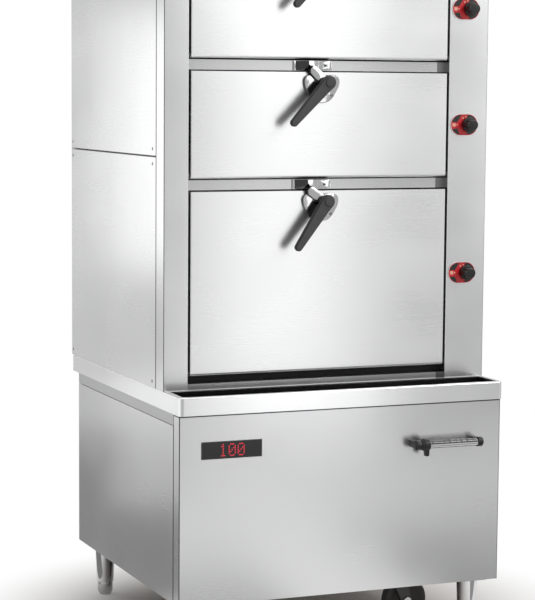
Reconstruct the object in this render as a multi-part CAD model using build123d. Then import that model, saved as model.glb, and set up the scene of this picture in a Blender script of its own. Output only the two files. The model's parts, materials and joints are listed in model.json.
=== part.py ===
from build123d import *
from math import cos, radians
import os

# Three-door seafood steaming cabinet, in millimetres.
# X runs to the right of someone in front of it, Y from front to back, Z up from the floor.

# Overall sizes
cabinet_width = 900
cabinet_height = 1850
worktop_depth = 900
leg_height = 150
base_height = 481
worktop_height = 46
upper_setback = 117

# Sheet metal
sheet = 1.5
panel_fold = 12
seam = 1.5
edge_radius = 2

# Worktop with its drip trough
worktop_corner_radius = 12
worktop_roll_radius = 4
worktop_skin = 2
trough_lip = 14
trough_rear_gap = 6
trough_depth = 36
worktop_return = 20

# Base casing and frame
base_side_inset = 3
base_front_inset = 8
base_rear_inset = 55
front_panel_return = 41
top_rail_height = 29
tube_size = 30
floor_sheet = 2
beam_underside = 270

# Louvres in the back of the base
louvre_count = 5
louvre_pitch = 17
louvre_length = 96
louvre_radius = 6
louvre_sheet = 1.2

# Legs and levelling feet
leg_side_inset = 63
leg_front_inset = 63
leg_rear_inset = 110
leg_top_radius = 28.5
leg_bottom_radius = 24
leg_flange = 86
leg_flange_thickness = 4
leg_nut_height = 20
foot_height = 38
foot_radius = 21.5
foot_sole_radius = 16
foot_flare_height = 12
foot_stud_radius = 8
foot_stud_length = 45

# Castors
castor_spacing = 470
castor_front_inset = 205
castor_rear_inset = 230
castor_trail = 35
castor_plate_length = 104
castor_plate_width = 84
castor_plate_thickness = 4
castor_head_radius = 30
castor_head_height = 13
castor_pin_radius = 6
wheel_radius = 62.5
wheel_width = 32
wheel_floor_gap = 2
fork_sheet = 4
fork_gap = 2.5
fork_end_radius = 14
axle_radius = 6
axle_nut_radius = 11
axle_nut_height = 5

# Running clearances
shaft_clearance = 0.06
turning_gap = 0.3
sliding_gap = 0.3
hole_clearance = 0.5

# Display unit
display_width = 162
display_height = 44
display_left = -389
display_bottom = 519
display_proud = 3
display_rim = 4
display_depth = 24

# Power control: a tube on two end mounts, with a slider ring
power_tube_radius = 10
power_tube_standoff = 31
power_tube_z = 526.5
power_left_end = 184
power_right_end = 379
power_mount_radius = 12.5
power_mount_bevel = 3
power_mount_socket = 16
power_foot_height = 18
power_tube_insert = 8
slider_radius = 15.5
slider_width = 22
slider_end_gap = 2
slider_rib_radius = 13.5
slider_lug_width = 12
slider_lug_length = 14
slider_lug_thickness = 9

# Upper cabinet
left_stile_width = 65
right_stile_width = 112
stile_depth = 56
bottom_rail_height = 16
bottom_gap = 19
lower_door_height = 464
middle_door_height = 268
upper_door_height = 268
bar_height = 25.5
bar_recess = 20
door_top_seam = 3.5
door_bottom_seam = 4
door_side_gap = 6
side_seam_height = 1263
top_panel_height = 12

# Doors and their pivots
door_pan_depth = 30
door_plug_depth = 20
door_plug_inset = 14
door_hinge_offset = 7
hinge_pin_radius = 4
hinge_pin_reach = 15
hinge_plate_thickness = 3
hinge_plate_size = 12
hinge_bush_radius = 6.5
hinge_bush_length = 20

# Chambers
liner_front = 40
liner_rear_gap = 63
liner_inset = 10
liner_flange_gap = 0.5
gasket_lap = 9.5
gasket_edge_gap = 0.5
gasket_relief = 1.1
shelf_height = 60
shelf_thickness = 2
shelf_ledge = 12
shelf_ledge_thickness = 3
shelf_side_gap = 3
shelf_end_gap = 20
shelf_slot_width = 18
shelf_slot_pitch = 60
shelf_slot_rows = 2
shelf_slot_margin = 40

# Latches
latch_x = -22
latch_drop = 26
shield_width = 98
shield_top = 19
shield_bottom = 52
shield_shoulder = 16
shield_notch_width = 30
shield_notch_depth = 12
shield_thickness = 8
shield_shift = -6
spindle_radius = 6
spindle_depth = 6
column_radius = 11
hub_outer_radius = 15
tongue_length = 53
tongue_width = 24
tongue_tip_chamfer = 7
tongue_thickness = 6
tongue_standoff = 11
lever_length = 152
lever_root_radius = 17
lever_tip_radius = 9.5
lever_standoff = 32
lever_thickness = 14
lever_rise = 13
lever_straight = 26
lever_tip_taper = 2
lever_edge_bevel = 2
lever_cap_radius = 12
lever_cap_height = 2
lower_lever_angle = 36.5
middle_lever_angle = 44.5
upper_lever_angle = 41.5

# Keepers on the bars
keeper_width = 96
keeper_height = 24
keeper_proud = 8
keeper_reach = 75
keeper_base = 3
keeper_split = 47
keeper_notch_width = 26
keeper_notch_depth = 15
keeper_toe = 6
keeper_slope = 27
keeper_screw_radius = 3.5
keeper_screw_inset = 18

# Steam knobs, their labels and their valves
knob_inset = 55
knob_radius = 19
knob_skirt_height = 9
knob_height = 31
knob_grip_width = 12
knob_edge_chamfer = 1.5
knob_stem_radius = 4
lower_knob_height = 955
middle_knob_height = 1344
upper_knob_height = 1645
label_height = 57
label_reach = 52
label_thickness = 2
valve_depth = 92
valve_width = 32
valve_length = 44
valve_neck_radius = 10
valve_neck_length = 34
stem_engagement = 14
steam_pipe_radius = 11
steam_pipe_rise = 30
steam_outlet_x = 160
steam_outlet_inset = 75
branch_radius = 8
branch_reach = 6

# Boiler tank with its float, and the induction coil below it
tank_width = 520
tank_length = 460
tank_height = 240
tank_wall = 2
tank_edge_radius = 20
runner_height = 18
runner_width = 24
runner_inset = 30
coil_plate_width = 250
coil_plate_thickness = 3
coil_thickness = 8
coil_inner_radius = 28
coil_outer_radius = 112
float_radius = 26
float_length = 60
float_bevel = 5
float_arm_length = 130
float_arm_width = 8
float_arm_thickness = 5
float_pivot_inset = 22
float_pivot_drop = 70
float_pivot_radius = 3
float_eye_radius = 7
float_droop = 38
float_ear_thickness = 3

# Power unit with its cooling fan
power_unit_width = 250
power_unit_length = 330
power_unit_height = 105
power_unit_left = -395
fan_radius = 44
fan_tip_gap = 1.5
fan_shroud_depth = 26
fan_blades = 5
fan_hub_radius = 16
fan_hub_length = 18
fan_spindle_radius = 3
blade_root_chord = 18
blade_tip_chord = 32
blade_pitch = 38
blade_thickness = 2

# Water, drain and cable fittings
inlet_radius = 10.5
inlet_length = 16
inlet_flange_radius = 15
inlet_flange_thickness = 5
inlet_x = -240
fitting_z = 340
drain_x = 185
drain_pipe_radius = 13
drain_drop = 32
drain_run = 150
drain_valve_radius = 18
drain_valve_from = 60
drain_valve_length = 50
drain_stem_radius = 5
drain_stem_head = 8
drain_lever_length = 95
drain_lever_width = 14
drain_lever_thickness = 3
gland_x = -330
gland_radius = 15
gland_bore_radius = 6
gland_length = 26
gland_thread_radius = 9
gland_dome_bevel = 4

# Levels
base_bottom = leg_height
base_top = base_bottom + base_height
deck_top = base_top + worktop_height
upper_top = cabinet_height - top_panel_height
rail_bottom = base_top - top_rail_height
floor_top = base_bottom + floor_sheet

# Depths: the power slider reaches furthest forward, the worktop furthest back
slider_forward = power_tube_standoff + slider_radius - base_front_inset
worktop_front = (slider_forward - worktop_depth) / 2
worktop_rear = worktop_front + worktop_depth
base_front = worktop_front + base_front_inset
base_rear = worktop_rear - base_rear_inset
base_middle = (base_front + base_rear) / 2
cabinet_front = worktop_front + upper_setback
cabinet_rear = worktop_rear
liner_depth = cabinet_rear - cabinet_front - liner_front - liner_rear_gap

# Widths
half_width = cabinet_width / 2
base_half = half_width - base_side_inset
frame_half = base_half - panel_fold
frame_front = base_front + front_panel_return
frame_rear = base_rear - panel_fold
opening_left = -half_width + left_stile_width
opening_right = half_width - right_stile_width
door_left = opening_left + door_side_gap
door_right = opening_right - door_side_gap
knob_x = half_width - knob_inset

bays = ("lower", "middle", "upper")
door_height = dict(zip(bays, (lower_door_height, middle_door_height, upper_door_height)))
lever_angle = dict(zip(bays, (lower_lever_angle, middle_lever_angle, upper_lever_angle)))
knob_z = dict(zip(bays, (lower_knob_height, middle_knob_height, upper_knob_height)))


def stack_doors():
    """Bottom and top of each door, from the lowest up."""
    levels = {}
    bottom = deck_top + bottom_rail_height + bottom_gap
    for bay in bays:
        levels[bay] = (bottom, bottom + door_height[bay])
        bottom += door_height[bay] + door_top_seam + bar_height + door_bottom_seam
    return levels


door_z = stack_doors()


def bar_levels(bay):
    """Bottom and top of the cross bar above a door."""
    bottom = door_z[bay][1] + door_top_seam
    return bottom, bottom + bar_height


# Shapes that several pieces use

def block(x, y, z):
    """A box, each side given as its low and high end."""
    sides = (x, y, z)
    middle = [(low + high) / 2 for low, high in sides]
    return Pos(*middle) * Box(*[high - low for low, high in sides])


def round_bar(radius, start, end):
    """A round bar from one point to another."""
    axis = Vector(*end) - Vector(*start)
    bar = Cylinder(radius, axis.length, align=(Align.CENTER, Align.CENTER, Align.MIN))
    return Plane(origin=start, z_dir=axis) * bar


def pan(x, y, z, open_axis, open_end):
    """A sheet pan folded on every side but the one at the given end of the given axis."""
    inner = []
    for axis, (low, high) in zip("xyz", (x, y, z)):
        low_cut = -sheet if axis == open_axis and open_end < 0 else sheet
        high_cut = -sheet if axis == open_axis and open_end > 0 else sheet
        inner.append((low + low_cut, high - high_cut))
    return block(x, y, z) - block(*inner)


def about(centre, size):
    """Low and high end of a size about a centre."""
    return centre - size / 2, centre + size / 2


def both_sides(near, far):
    """The low and high end of a width, left and right of the middle."""
    return [(-far, -near), (near, far)]


def mitred_bar(radius, corners):
    """A round bar along straight runs, mitred at each corner."""
    path = Polyline(*corners)
    start = Plane(origin=path @ 0, z_dir=path % 0)
    return sweep(start * Circle(radius), path=path, transition=Transition.RIGHT)


def front_plane(x, y, z):
    """A plane that faces forward: its own X runs right, its own Y up, its own Z to the front."""
    return Plane(origin=(x, y, z), x_dir=(1, 0, 0), z_dir=(0, -1, 0))


# Base

def tank_beam_ends():
    """Front and back of the two beams that carry the tank."""
    spread = tank_length / 2 - 1.5 * tube_size
    return [about(base_middle + way * spread, tube_size) for way in (-1, 1)]


def base_frame():
    """Welded tube frame: posts, top rails that show under the worktop, floor rails and tank beams."""
    post_ends = [(frame_front, frame_front + tube_size), (frame_rear - tube_size, frame_rear)]
    side_run = (frame_front + tube_size, frame_rear - tube_size)
    cross_run = (-(frame_half - tube_size), frame_half - tube_size)
    top_cross_run = (-(base_half - tube_size), base_half - tube_size)
    floor_level = (floor_top, floor_top + tube_size)
    beam_level = (beam_underside, beam_underside + tube_size)
    members = []
    for x in both_sides(frame_half - tube_size, frame_half):
        members += [block(x, y, (floor_top, rail_bottom)) for y in post_ends]
        members += [block(x, side_run, level) for level in (floor_level, beam_level)]
    for x in both_sides(base_half - tube_size, base_half):
        members.append(block(x, (frame_front + seam, base_rear), (rail_bottom, base_top)))
    for y in ((frame_front, frame_front + tube_size), (base_rear - tube_size, base_rear)):
        members.append(block(top_cross_run, y, (rail_bottom, base_top)))
    members += [block(cross_run, y, floor_level) for y in post_ends]
    members += [block(cross_run, y, beam_level) for y in tank_beam_ends()]
    return [tube_bore(member) for member in members]


def tube_bore(member):
    """Hollows a straight member along its longest side, so that it is square tube."""
    box = member.bounding_box()
    ends = [(box.min.X, box.max.X), (box.min.Y, box.max.Y), (box.min.Z, box.max.Z)]
    longest = max(range(3), key=lambda side: ends[side][1] - ends[side][0])
    bore = [(low, high) if side == longest else (low + sheet, high - sheet)
            for side, (low, high) in enumerate(ends)]
    return member - block(*bore)


def base_front_panel():
    """Front panel, folded on all four sides, with the cut-out for the display."""
    panel = pan((-base_half, base_half), (base_front, frame_front), (base_bottom, base_top), "y", 1)
    corners = panel.edges().filter_by(Axis.Z).group_by(Axis.Y)[0]
    panel = fillet(corners, sheet * 0.9)
    cutout_x = (display_left + display_rim - sliding_gap,
                display_left + display_width - display_rim + sliding_gap)
    cutout_z = (display_bottom + display_rim - sliding_gap,
                display_bottom + display_height - display_rim + sliding_gap)
    return panel - block(cutout_x, about(base_front, 4 * sheet), cutout_z)


def base_side_panels():
    """Left and right side panels of the base, below the top rail."""
    y = (frame_front + seam, base_rear)
    z = (base_bottom, rail_bottom - seam)
    left, right = both_sides(frame_half, base_half)
    return [pan(left, y, z, "x", 1), pan(right, y, z, "x", -1)]


def base_back_panel():
    """Back panel with louvres behind the fan and holes for the water and cable fittings."""
    z = (base_bottom, rail_bottom - seam)
    panel = pan((-frame_half, frame_half), (frame_rear, base_rear), z, "y", -1)
    centre_x = power_unit_left + power_unit_width / 2
    lowest = fan_centre_z() - (louvre_count - 1) * louvre_pitch / 2
    for number in range(louvre_count):
        z = lowest + number * louvre_pitch
        panel += louvre_hood(centre_x, z)
        panel -= block(about(centre_x, louvre_length - 2 * louvre_sheet), about(base_rear, 4 * sheet),
                       (z - louvre_radius + louvre_sheet, z))
    for x, radius in ((inlet_x, inlet_radius), (gland_x, gland_thread_radius)):
        panel -= round_bar(radius + hole_clearance, (x, frame_rear, fitting_z), (x, base_rear + 1, fitting_z))
    return panel


def louvre_hood(x, z):
    """One louvre: a quarter-round hood, closed above and at the ends, open below."""
    left = x - louvre_length / 2
    right = x + louvre_length / 2
    foot = z - louvre_radius
    hood = round_bar(louvre_radius, (left, base_rear, foot), (right, base_rear, foot))
    hollow = round_bar(louvre_radius - louvre_sheet, (left + louvre_sheet, base_rear, foot),
                       (right - louvre_sheet, base_rear, foot))
    keep = block((left, right), (base_rear, base_rear + louvre_radius), (foot, z))
    return (hood - hollow) & keep


def base_floor():
    """Floor sheet, with a hole for the drain pipe."""
    plate = block((-frame_half, frame_half), (frame_front, frame_rear), (base_bottom, floor_top))
    radius = drain_pipe_radius + hole_clearance
    return plate - round_bar(radius, (drain_x, base_middle, base_bottom - 1),
                             (drain_x, base_middle, floor_top + 1))


def worktop():
    """Worktop pressed from one sheet: rolled rim, drip trough in front, hole for the steam riser."""
    rim = block((-half_width, half_width), (worktop_front, worktop_rear), (base_top, deck_top))
    rim = fillet(rim.edges().filter_by(Axis.Z), worktop_corner_radius)
    rim = fillet(rim.faces().sort_by(Axis.Z)[-1].edges(), worktop_roll_radius)
    trough_x = (-half_width + trough_lip, half_width - trough_lip)
    trough_y = (worktop_front + trough_lip, cabinet_front - trough_rear_gap)
    trough = block(trough_x, trough_y, (deck_top - trough_depth, deck_top + 1))
    skin_x = (trough_x[0] - worktop_skin, trough_x[1] + worktop_skin)
    skin_y = (trough_y[0] - worktop_skin, trough_y[1] + worktop_skin)
    trough_skin = block(skin_x, skin_y, (deck_top - trough_depth - worktop_skin, deck_top))
    inside = block((-half_width + worktop_skin, half_width - worktop_skin),
                   (worktop_front + worktop_skin, worktop_rear - worktop_skin),
                   (base_top + worktop_skin, deck_top - worktop_skin))
    inside = chamfer(inside.edges().filter_by(Axis.Z), worktop_corner_radius - worktop_skin)
    below = block((-half_width + worktop_return, half_width - worktop_return),
                  (worktop_front + worktop_return, base_rear - worktop_return),
                  (base_top - 1, base_top + worktop_skin))
    riser_y = cabinet_front + valve_depth
    riser = round_bar(steam_pipe_radius + hole_clearance, (knob_x, riser_y, base_top),
                      (knob_x, riser_y, deck_top + 1))
    return rim - (inside - trough_skin) - below - trough - riser


# Legs, feet and castors

def four_corners(x, front, rear):
    """Four places, by name: the given distance either side of the middle, in front and behind."""
    return {f"{depth}_{side}": (way * x, y) for depth, y in (("front", front), ("rear", rear))
            for side, way in (("left", -1), ("right", 1))}


def leg_places():
    """Centre of each leg, by name."""
    return four_corners(half_width - leg_side_inset,
                        worktop_front + leg_front_inset, worktop_rear - leg_rear_inset)


def leg_tubes():
    """Four tapered legs, each with a welded flange above and the threaded hole for its foot below."""
    bottom = foot_height + turning_gap
    top = leg_height - leg_flange_thickness
    low_end = (Align.CENTER, Align.CENTER, Align.MIN)
    leg = Cone(leg_bottom_radius, leg_top_radius, top - bottom, align=low_end)
    leg -= Cylinder(foot_stud_radius + shaft_clearance, foot_stud_length + leg_nut_height, align=low_end)
    flange = block(about(0, leg_flange), about(0, leg_flange), (top, leg_height))
    flange = chamfer(flange.edges().filter_by(Axis.Z), leg_flange / 8)
    return [Pos(x, y, 0) * (Pos(0, 0, bottom) * leg + flange) for x, y in leg_places().values()]


def levelling_foot(x, y):
    """Turned foot that flares up from a flat sole, with a threaded stud that runs up into the leg."""
    stud_top = foot_height + foot_stud_length
    profile = Polyline((0, 0), (foot_sole_radius, 0), (foot_radius, foot_flare_height),
                       (foot_radius, foot_height), (foot_stud_radius, foot_height),
                       (foot_stud_radius, stud_top), (0, stud_top), close=True)
    return Pos(x, y, 0) * revolve(Plane.XZ * make_face(profile), Axis.Z)


def castor_places():
    """Centre of each castor's plate, by name."""
    return four_corners(castor_spacing / 2,
                        worktop_front + castor_front_inset, worktop_rear - castor_rear_inset)


axle_z = wheel_floor_gap + wheel_radius
castor_plate_bottom = leg_height - castor_plate_thickness
castor_head_top = castor_plate_bottom - turning_gap


def castor_plate():
    """Top plate of a castor about its own centre."""
    z = (castor_plate_bottom, leg_height)
    plate = block(about(0, castor_plate_length), about(0, castor_plate_width), z)
    return chamfer(plate.edges().filter_by(Axis.Z), castor_plate_width / 10)


def castor_fork(trail, head_top):
    """Fork with its head at the middle and its axle, along Y, behind by the trail."""
    head_bottom = castor_head_top - castor_head_height
    head = round_bar(castor_head_radius, (0, 0, head_bottom), (0, 0, head_top))
    inner = wheel_width / 2 + fork_gap
    outer = inner + fork_sheet
    end = Pos(trail, axle_z) * Circle(fork_end_radius)
    neck = Pos(trail / 4, head_bottom + 1) * Rectangle(castor_head_radius * 1.5, 2)
    cheek_face = make_hull(end.edges() + neck.edges())
    fork = head
    for side in (-1, 1):
        start = -inner if side > 0 else outer
        fork += extrude(front_plane(0, start, 0) * cheek_face, amount=fork_sheet)
        nut_plane = Plane(origin=(trail, side * outer, axle_z), z_dir=(0, side, 0))
        fork += extrude(nut_plane * RegularPolygon(axle_nut_radius, 6), amount=axle_nut_height)
    return fork + round_bar(axle_radius, (trail, -outer, axle_z), (trail, outer, axle_z))


def castor_mounts():
    """Top plates of the swivel castors in front, and the fixed castors' brackets at the rear."""
    pin_hole = round_bar(castor_pin_radius + shaft_clearance, (0, 0, castor_plate_bottom - 1),
                         (0, 0, leg_height + 1))
    mounts = []
    for name, (x, y) in castor_places().items():
        if name.startswith("front"):
            mounts.append(Pos(x, y, 0) * (castor_plate() - pin_hole))
        else:
            bracket = castor_plate() + castor_fork(0, castor_plate_bottom)
            mounts.append(Pos(x, y, 0) * Rot(0, 0, 90) * bracket)
    return mounts


def swivel_fork(x, y):
    """Fork of a front castor, turned on a kingpin in the plate above it."""
    kingpin = round_bar(castor_pin_radius, (0, 0, castor_head_top - 1), (0, 0, leg_height))
    return Pos(x, y, 0) * (castor_fork(castor_trail, castor_head_top) + kingpin)


def castor_wheel(x, y, turn):
    """Solid wheel, its axle along Y before the turn."""
    half = wheel_width / 2
    wheel = round_bar(wheel_radius, (0, -half, 0), (0, half, 0))
    wheel -= round_bar(axle_radius + shaft_clearance, (0, -half, 0), (0, half, 0))
    return Pos(x, y, axle_z) * Rot(0, 0, turn) * wheel


# Display and power control

def display_unit():
    """Window with a bevelled rim; its housing passes through the front panel."""
    x = (display_left, display_left + display_width)
    z = (display_bottom, display_bottom + display_height)
    window = block(x, (base_front - display_proud, base_front), z)
    window = chamfer(window.faces().sort_by(Axis.Y)[0].edges(), display_proud / 2)
    housing = block((x[0] + display_rim, x[1] - display_rim), (base_front, base_front + display_depth),
                    (z[0] + display_rim, z[1] - display_rim))
    return window + housing


power_y = base_front - power_tube_standoff
power_socket_left = power_left_end + power_mount_socket
power_socket_right = power_right_end - power_mount_socket


def power_mount(outer_end, socket_end):
    """Round end piece with a socket for the tube, on a foot that stands on the front panel."""
    side = 1 if socket_end > outer_end else -1
    drum = round_bar(power_mount_radius, (outer_end, power_y, power_tube_z),
                     (socket_end, power_y, power_tube_z))
    outer_edge = drum.edges().filter_by(GeomType.CIRCLE).sort_by(lambda edge: side * edge.center().X)[0]
    drum = chamfer(outer_edge, power_mount_bevel)
    foot_x = sorted((outer_end + side * power_mount_bevel, socket_end))
    drum += block(foot_x, (power_y, base_front), about(power_tube_z, power_foot_height))
    socket_floor = socket_end - side * power_tube_insert
    return drum - round_bar(power_tube_radius, (socket_floor, power_y, power_tube_z),
                            (socket_end + side, power_y, power_tube_z))


def power_mounts():
    """The two end mounts of the power control."""
    return [power_mount(power_left_end, power_socket_left), power_mount(power_right_end, power_socket_right)]


def power_tube():
    """Tube that carries the scale and the slider."""
    start = (power_socket_left - power_tube_insert, power_y, power_tube_z)
    end = (power_socket_right + power_tube_insert, power_y, power_tube_z)
    return round_bar(power_tube_radius, start, end) - round_bar(power_tube_radius - sheet, start, end)


def power_slider():
    """Slider ring with a raised middle band and a thumb lug below."""
    left = power_socket_left + slider_end_gap
    right = left + slider_width
    third = slider_width / 4
    ring = round_bar(slider_rib_radius, (left, power_y, power_tube_z), (right, power_y, power_tube_z))
    ring += round_bar(slider_radius, (left + third, power_y, power_tube_z), (right, power_y, power_tube_z))
    ring = chamfer(ring.edges().filter_by(GeomType.CIRCLE).sort_by(Axis.X)[-1], 1.5)
    lug_bottom = power_tube_z - slider_radius - slider_lug_length
    lug = block((right - slider_lug_width, right), about(power_y, slider_lug_thickness),
                (lug_bottom, power_tube_z - power_tube_radius - 1))
    lug = fillet(lug.edges().filter_by(Axis.Y).sort_by(Axis.Z)[:2], slider_lug_width / 3)
    bore = round_bar(power_tube_radius + sliding_gap, (left - 1, power_y, power_tube_z),
                     (right + 1, power_y, power_tube_z))
    return ring + lug - bore


# Upper cabinet

def stile(x):
    """Upright channel at one side of the doors, open to the rear."""
    channel = pan(x, (cabinet_front, cabinet_front + stile_depth), (deck_top, upper_top), "y", 1)
    return fillet(channel.edges().filter_by(Axis.Z).group_by(Axis.Y)[0], sheet * 0.9)


def stiles():
    """The stile to the left of the doors, and the wider one to the right, drilled for the knob stems."""
    left = stile((-half_width, opening_left))
    right = stile((opening_right, half_width))
    for z in knob_z.values():
        right -= round_bar(knob_stem_radius + hole_clearance, (knob_x, cabinet_front - 1, z),
                           (knob_x, cabinet_front + 2 * sheet, z))
    return [left, right]


def cross_bars():
    """Bottom rail, the recessed bar above each door, and the lintel."""
    x = (opening_left, opening_right)
    rear = cabinet_front + liner_front
    bars = [pan(x, (cabinet_front, rear), (deck_top, deck_top + bottom_rail_height), "y", 1)]
    for bay in bays:
        bars.append(pan(x, (cabinet_front + bar_recess, rear), bar_levels(bay), "y", 1))
    bars.append(pan(x, (cabinet_front, rear), (bar_levels("upper")[1], upper_top), "y", 1))
    return bars


def upper_side_panels():
    """Side panels of the upper cabinet, in two heights on each side."""
    y = (cabinet_front + stile_depth + seam, cabinet_rear)
    heights = ((deck_top, side_seam_height - seam / 2), (side_seam_height + seam / 2, upper_top))
    left, right = both_sides(half_width - panel_fold, half_width)
    return [pan(left, y, z, "x", 1) for z in heights] + [pan(right, y, z, "x", -1) for z in heights]


def back_panel():
    """Back panel of the upper cabinet, between the side panels."""
    x = (-half_width + panel_fold, half_width - panel_fold)
    return pan(x, (cabinet_rear - panel_fold, cabinet_rear), (deck_top, upper_top), "y", -1)


def top_panel():
    """Top panel, folded down on all four sides."""
    lid = pan((-half_width, half_width), (cabinet_front, cabinet_rear), (upper_top, cabinet_height), "z", -1)
    return fillet(lid.edges().filter_by(Axis.Z).group_by(Axis.Y)[0], sheet * 0.9)


def chamber_mouth(bay):
    """Width and height of a chamber's mouth, inside its liner."""
    bottom, top = door_z[bay]
    return (door_left + liner_inset, door_right - liner_inset), (bottom + liner_inset, top - liner_inset)


def chamber_liner(bay):
    """Sheet chamber with a front flange, two shelf ledges and the hole for its steam pipe."""
    x, z = chamber_mouth(bay)
    front = cabinet_front + liner_front
    rear = front + liner_depth
    outer_x = (x[0] - sheet, x[1] + sheet)
    outer_z = (z[0] - sheet, z[1] + sheet)
    below = bays.index(bay) - 1
    flange_low = deck_top if below < 0 else sum(bar_levels(bays[below])) / 2
    flange_z = (flange_low + liner_flange_gap, sum(bar_levels(bay)) / 2 - liner_flange_gap)
    flange_x = (opening_left + liner_flange_gap, opening_right - liner_flange_gap)
    liner = block(flange_x, (front, front + sheet), flange_z)
    liner += block(outer_x, (front, rear), outer_z)
    liner -= block(x, (front - 1, rear - sheet), z)
    ledge_top = z[0] + shelf_height
    for ledge_x in ((x[0], x[0] + shelf_ledge), (x[1] - shelf_ledge, x[1])):
        liner += block(ledge_x, (front + shelf_end_gap, rear - sheet),
                       (ledge_top - shelf_ledge_thickness, ledge_top))
    pipe_y = cabinet_front + valve_depth
    return liner - round_bar(branch_radius + hole_clearance, (x[1] - 1, pipe_y, knob_z[bay]),
                             (x[1] + 2 * sheet, pipe_y, knob_z[bay]))


def shelf_plate(bay):
    """Slotted plate that lies on the chamber's ledges."""
    x, z = chamber_mouth(bay)
    x = (x[0] + shelf_side_gap, x[1] - shelf_side_gap)
    front = cabinet_front + liner_front + shelf_end_gap
    rear = cabinet_front + liner_front + liner_depth - shelf_end_gap
    bottom = z[0] + shelf_height
    plate = block(x, (front, rear), (bottom, bottom + shelf_thickness))
    slot_length = (rear - front - (shelf_slot_rows + 1) * shelf_slot_margin) / shelf_slot_rows
    slot_count = int((x[1] - x[0] - 2 * shelf_slot_margin) / shelf_slot_pitch) + 1
    first_x = (x[0] + x[1] - (slot_count - 1) * shelf_slot_pitch) / 2
    slots = []
    for row in range(shelf_slot_rows):
        slot_front = front + shelf_slot_margin + row * (slot_length + shelf_slot_margin)
        for number in range(slot_count):
            slot_x = about(first_x + number * shelf_slot_pitch, shelf_slot_width)
            slots.append(block(slot_x, (slot_front, slot_front + slot_length),
                               (bottom - 1, bottom + 2 * shelf_thickness)))
    return plate - slots


def shelf_plates():
    """One slotted plate in each chamber."""
    return [shelf_plate(bay) for bay in bays]


def door_gasket(bay):
    """Soft flat ring on the liner's flange, from the frame round the door to the chamber's mouth."""
    bottom, top = door_z[bay]
    y = (cabinet_front + door_pan_depth + gasket_relief, cabinet_front + liner_front)
    below = bays.index(bay) - 1
    frame_below = deck_top + bottom_rail_height if below < 0 else bar_levels(bays[below])[1]
    frame_z = (frame_below + gasket_edge_gap, bar_levels(bay)[0] - gasket_edge_gap)
    outer = block((opening_left + gasket_edge_gap, opening_right - gasket_edge_gap), y, frame_z)
    return outer - block((door_left + gasket_lap, door_right - gasket_lap), (y[0] - 1, y[1] + 1),
                         (bottom + gasket_lap, top - gasket_lap))


def door_gaskets():
    """The gaskets of the three doors."""
    return [door_gasket(bay) for bay in bays]


# Doors

def hinge_axis(bay):
    """Depth and height of a door's pivot, near its outer bottom edge."""
    return cabinet_front + door_hinge_offset, door_z[bay][0] + door_hinge_offset


def hinge_pivots():
    """A plate and pin on each stile for each door."""
    pivots = []
    for bay in bays:
        y, z = hinge_axis(bay)
        for stile_x, side in ((opening_left, 1), (opening_right, -1)):
            plate_x = sorted((stile_x, stile_x + side * hinge_plate_thickness))
            plate = block(plate_x, about(y, hinge_plate_size), about(z, hinge_plate_size))
            pin_end = stile_x + side * (door_side_gap + hinge_pin_reach)
            pivots.append(plate + round_bar(hinge_pin_radius, (stile_x, y, z), (pin_end, y, z)))
    return pivots


def lowest_front_edge(box):
    """The edge of a box, along X, where its front meets its underside."""
    return box.edges().filter_by(Axis.X).sort_by(lambda edge: edge.center().Y + edge.center().Z)[0]


def door(bay):
    """Hollow insulated door: outer pan, inner plug, and a bush for the pivot at each end."""
    bottom, top = door_z[bay]
    y, z = hinge_axis(bay)
    front = cabinet_front
    pan_rear = front + door_pan_depth
    leaf = block((door_left, door_right), (front, pan_rear), (bottom, top))
    leaf = fillet(lowest_front_edge(leaf), door_hinge_offset - 0.01)
    leaf = fillet(leaf.faces().sort_by(Axis.Y)[0].edges().filter_by(Axis.Z), edge_radius)
    plug_rear = pan_rear + door_plug_depth
    inset = door_plug_inset
    leaf += block((door_left + inset, door_right - inset), (pan_rear - 1, plug_rear),
                  (bottom + inset, top - inset))
    hollow = block((door_left + sheet, door_right - sheet), (front + sheet, pan_rear - sheet),
                   (bottom + sheet, top - sheet))
    hollow = chamfer(lowest_front_edge(hollow), door_hinge_offset - sheet)
    inset += sheet
    hollow += block((door_left + inset, door_right - inset), (pan_rear - 2 * sheet, plug_rear - sheet),
                    (bottom + inset, top - inset))
    leaf -= hollow
    for end, side in ((door_left, 1), (door_right, -1)):
        bush = (end + side * hinge_bush_length, y, z)
        leaf += round_bar(hinge_bush_radius, (end + side * sheet / 2, y, z), bush)
        leaf -= round_bar(hinge_pin_radius + shaft_clearance, (end - side, y, z),
                          (end + side * (hinge_pin_reach + 1), y, z))
    return leaf


def latch_centre(bay):
    """Height of a latch's spindle."""
    return door_z[bay][1] - latch_drop


# Latches

def shield_outline():
    """Right half of the shield: lobed top with a notch, and a side that bulges down to a rounded point."""
    half = shield_width / 2
    notch = shield_notch_width / 2
    shoulder = shield_shoulder
    lobe = shoulder * (1 - cos(radians(45)))
    outline = Line((0, shield_top - shield_notch_depth), (notch, shield_top))
    outline += Line((notch, shield_top), (half - shoulder, shield_top))
    outline += ThreePointArc((half - shoulder, shield_top), (half - lobe, shield_top - lobe),
                             (half, shield_top - shoulder))
    outline += Spline((half, shield_top - shoulder), (half * 0.8, -shield_bottom * 0.48), (0, -shield_bottom),
                      tangents=((0, -1), (-1, 0)))
    outline += Line((0, -shield_bottom), (0, shield_top - shield_notch_depth))
    return make_face(outline)


def latch_shield(bay):
    """Cast shield plate with the bore for the spindle."""
    plane = front_plane(latch_x, cabinet_front, latch_centre(bay))
    half = shield_outline()
    outline = half + mirror(half, about=Plane.YZ)
    plate = extrude(plane * Pos(shield_shift, 0) * outline, amount=shield_thickness)
    hole = extrude(plane * Circle(spindle_radius + shaft_clearance), amount=shield_thickness + 1)
    return plate - hole


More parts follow.
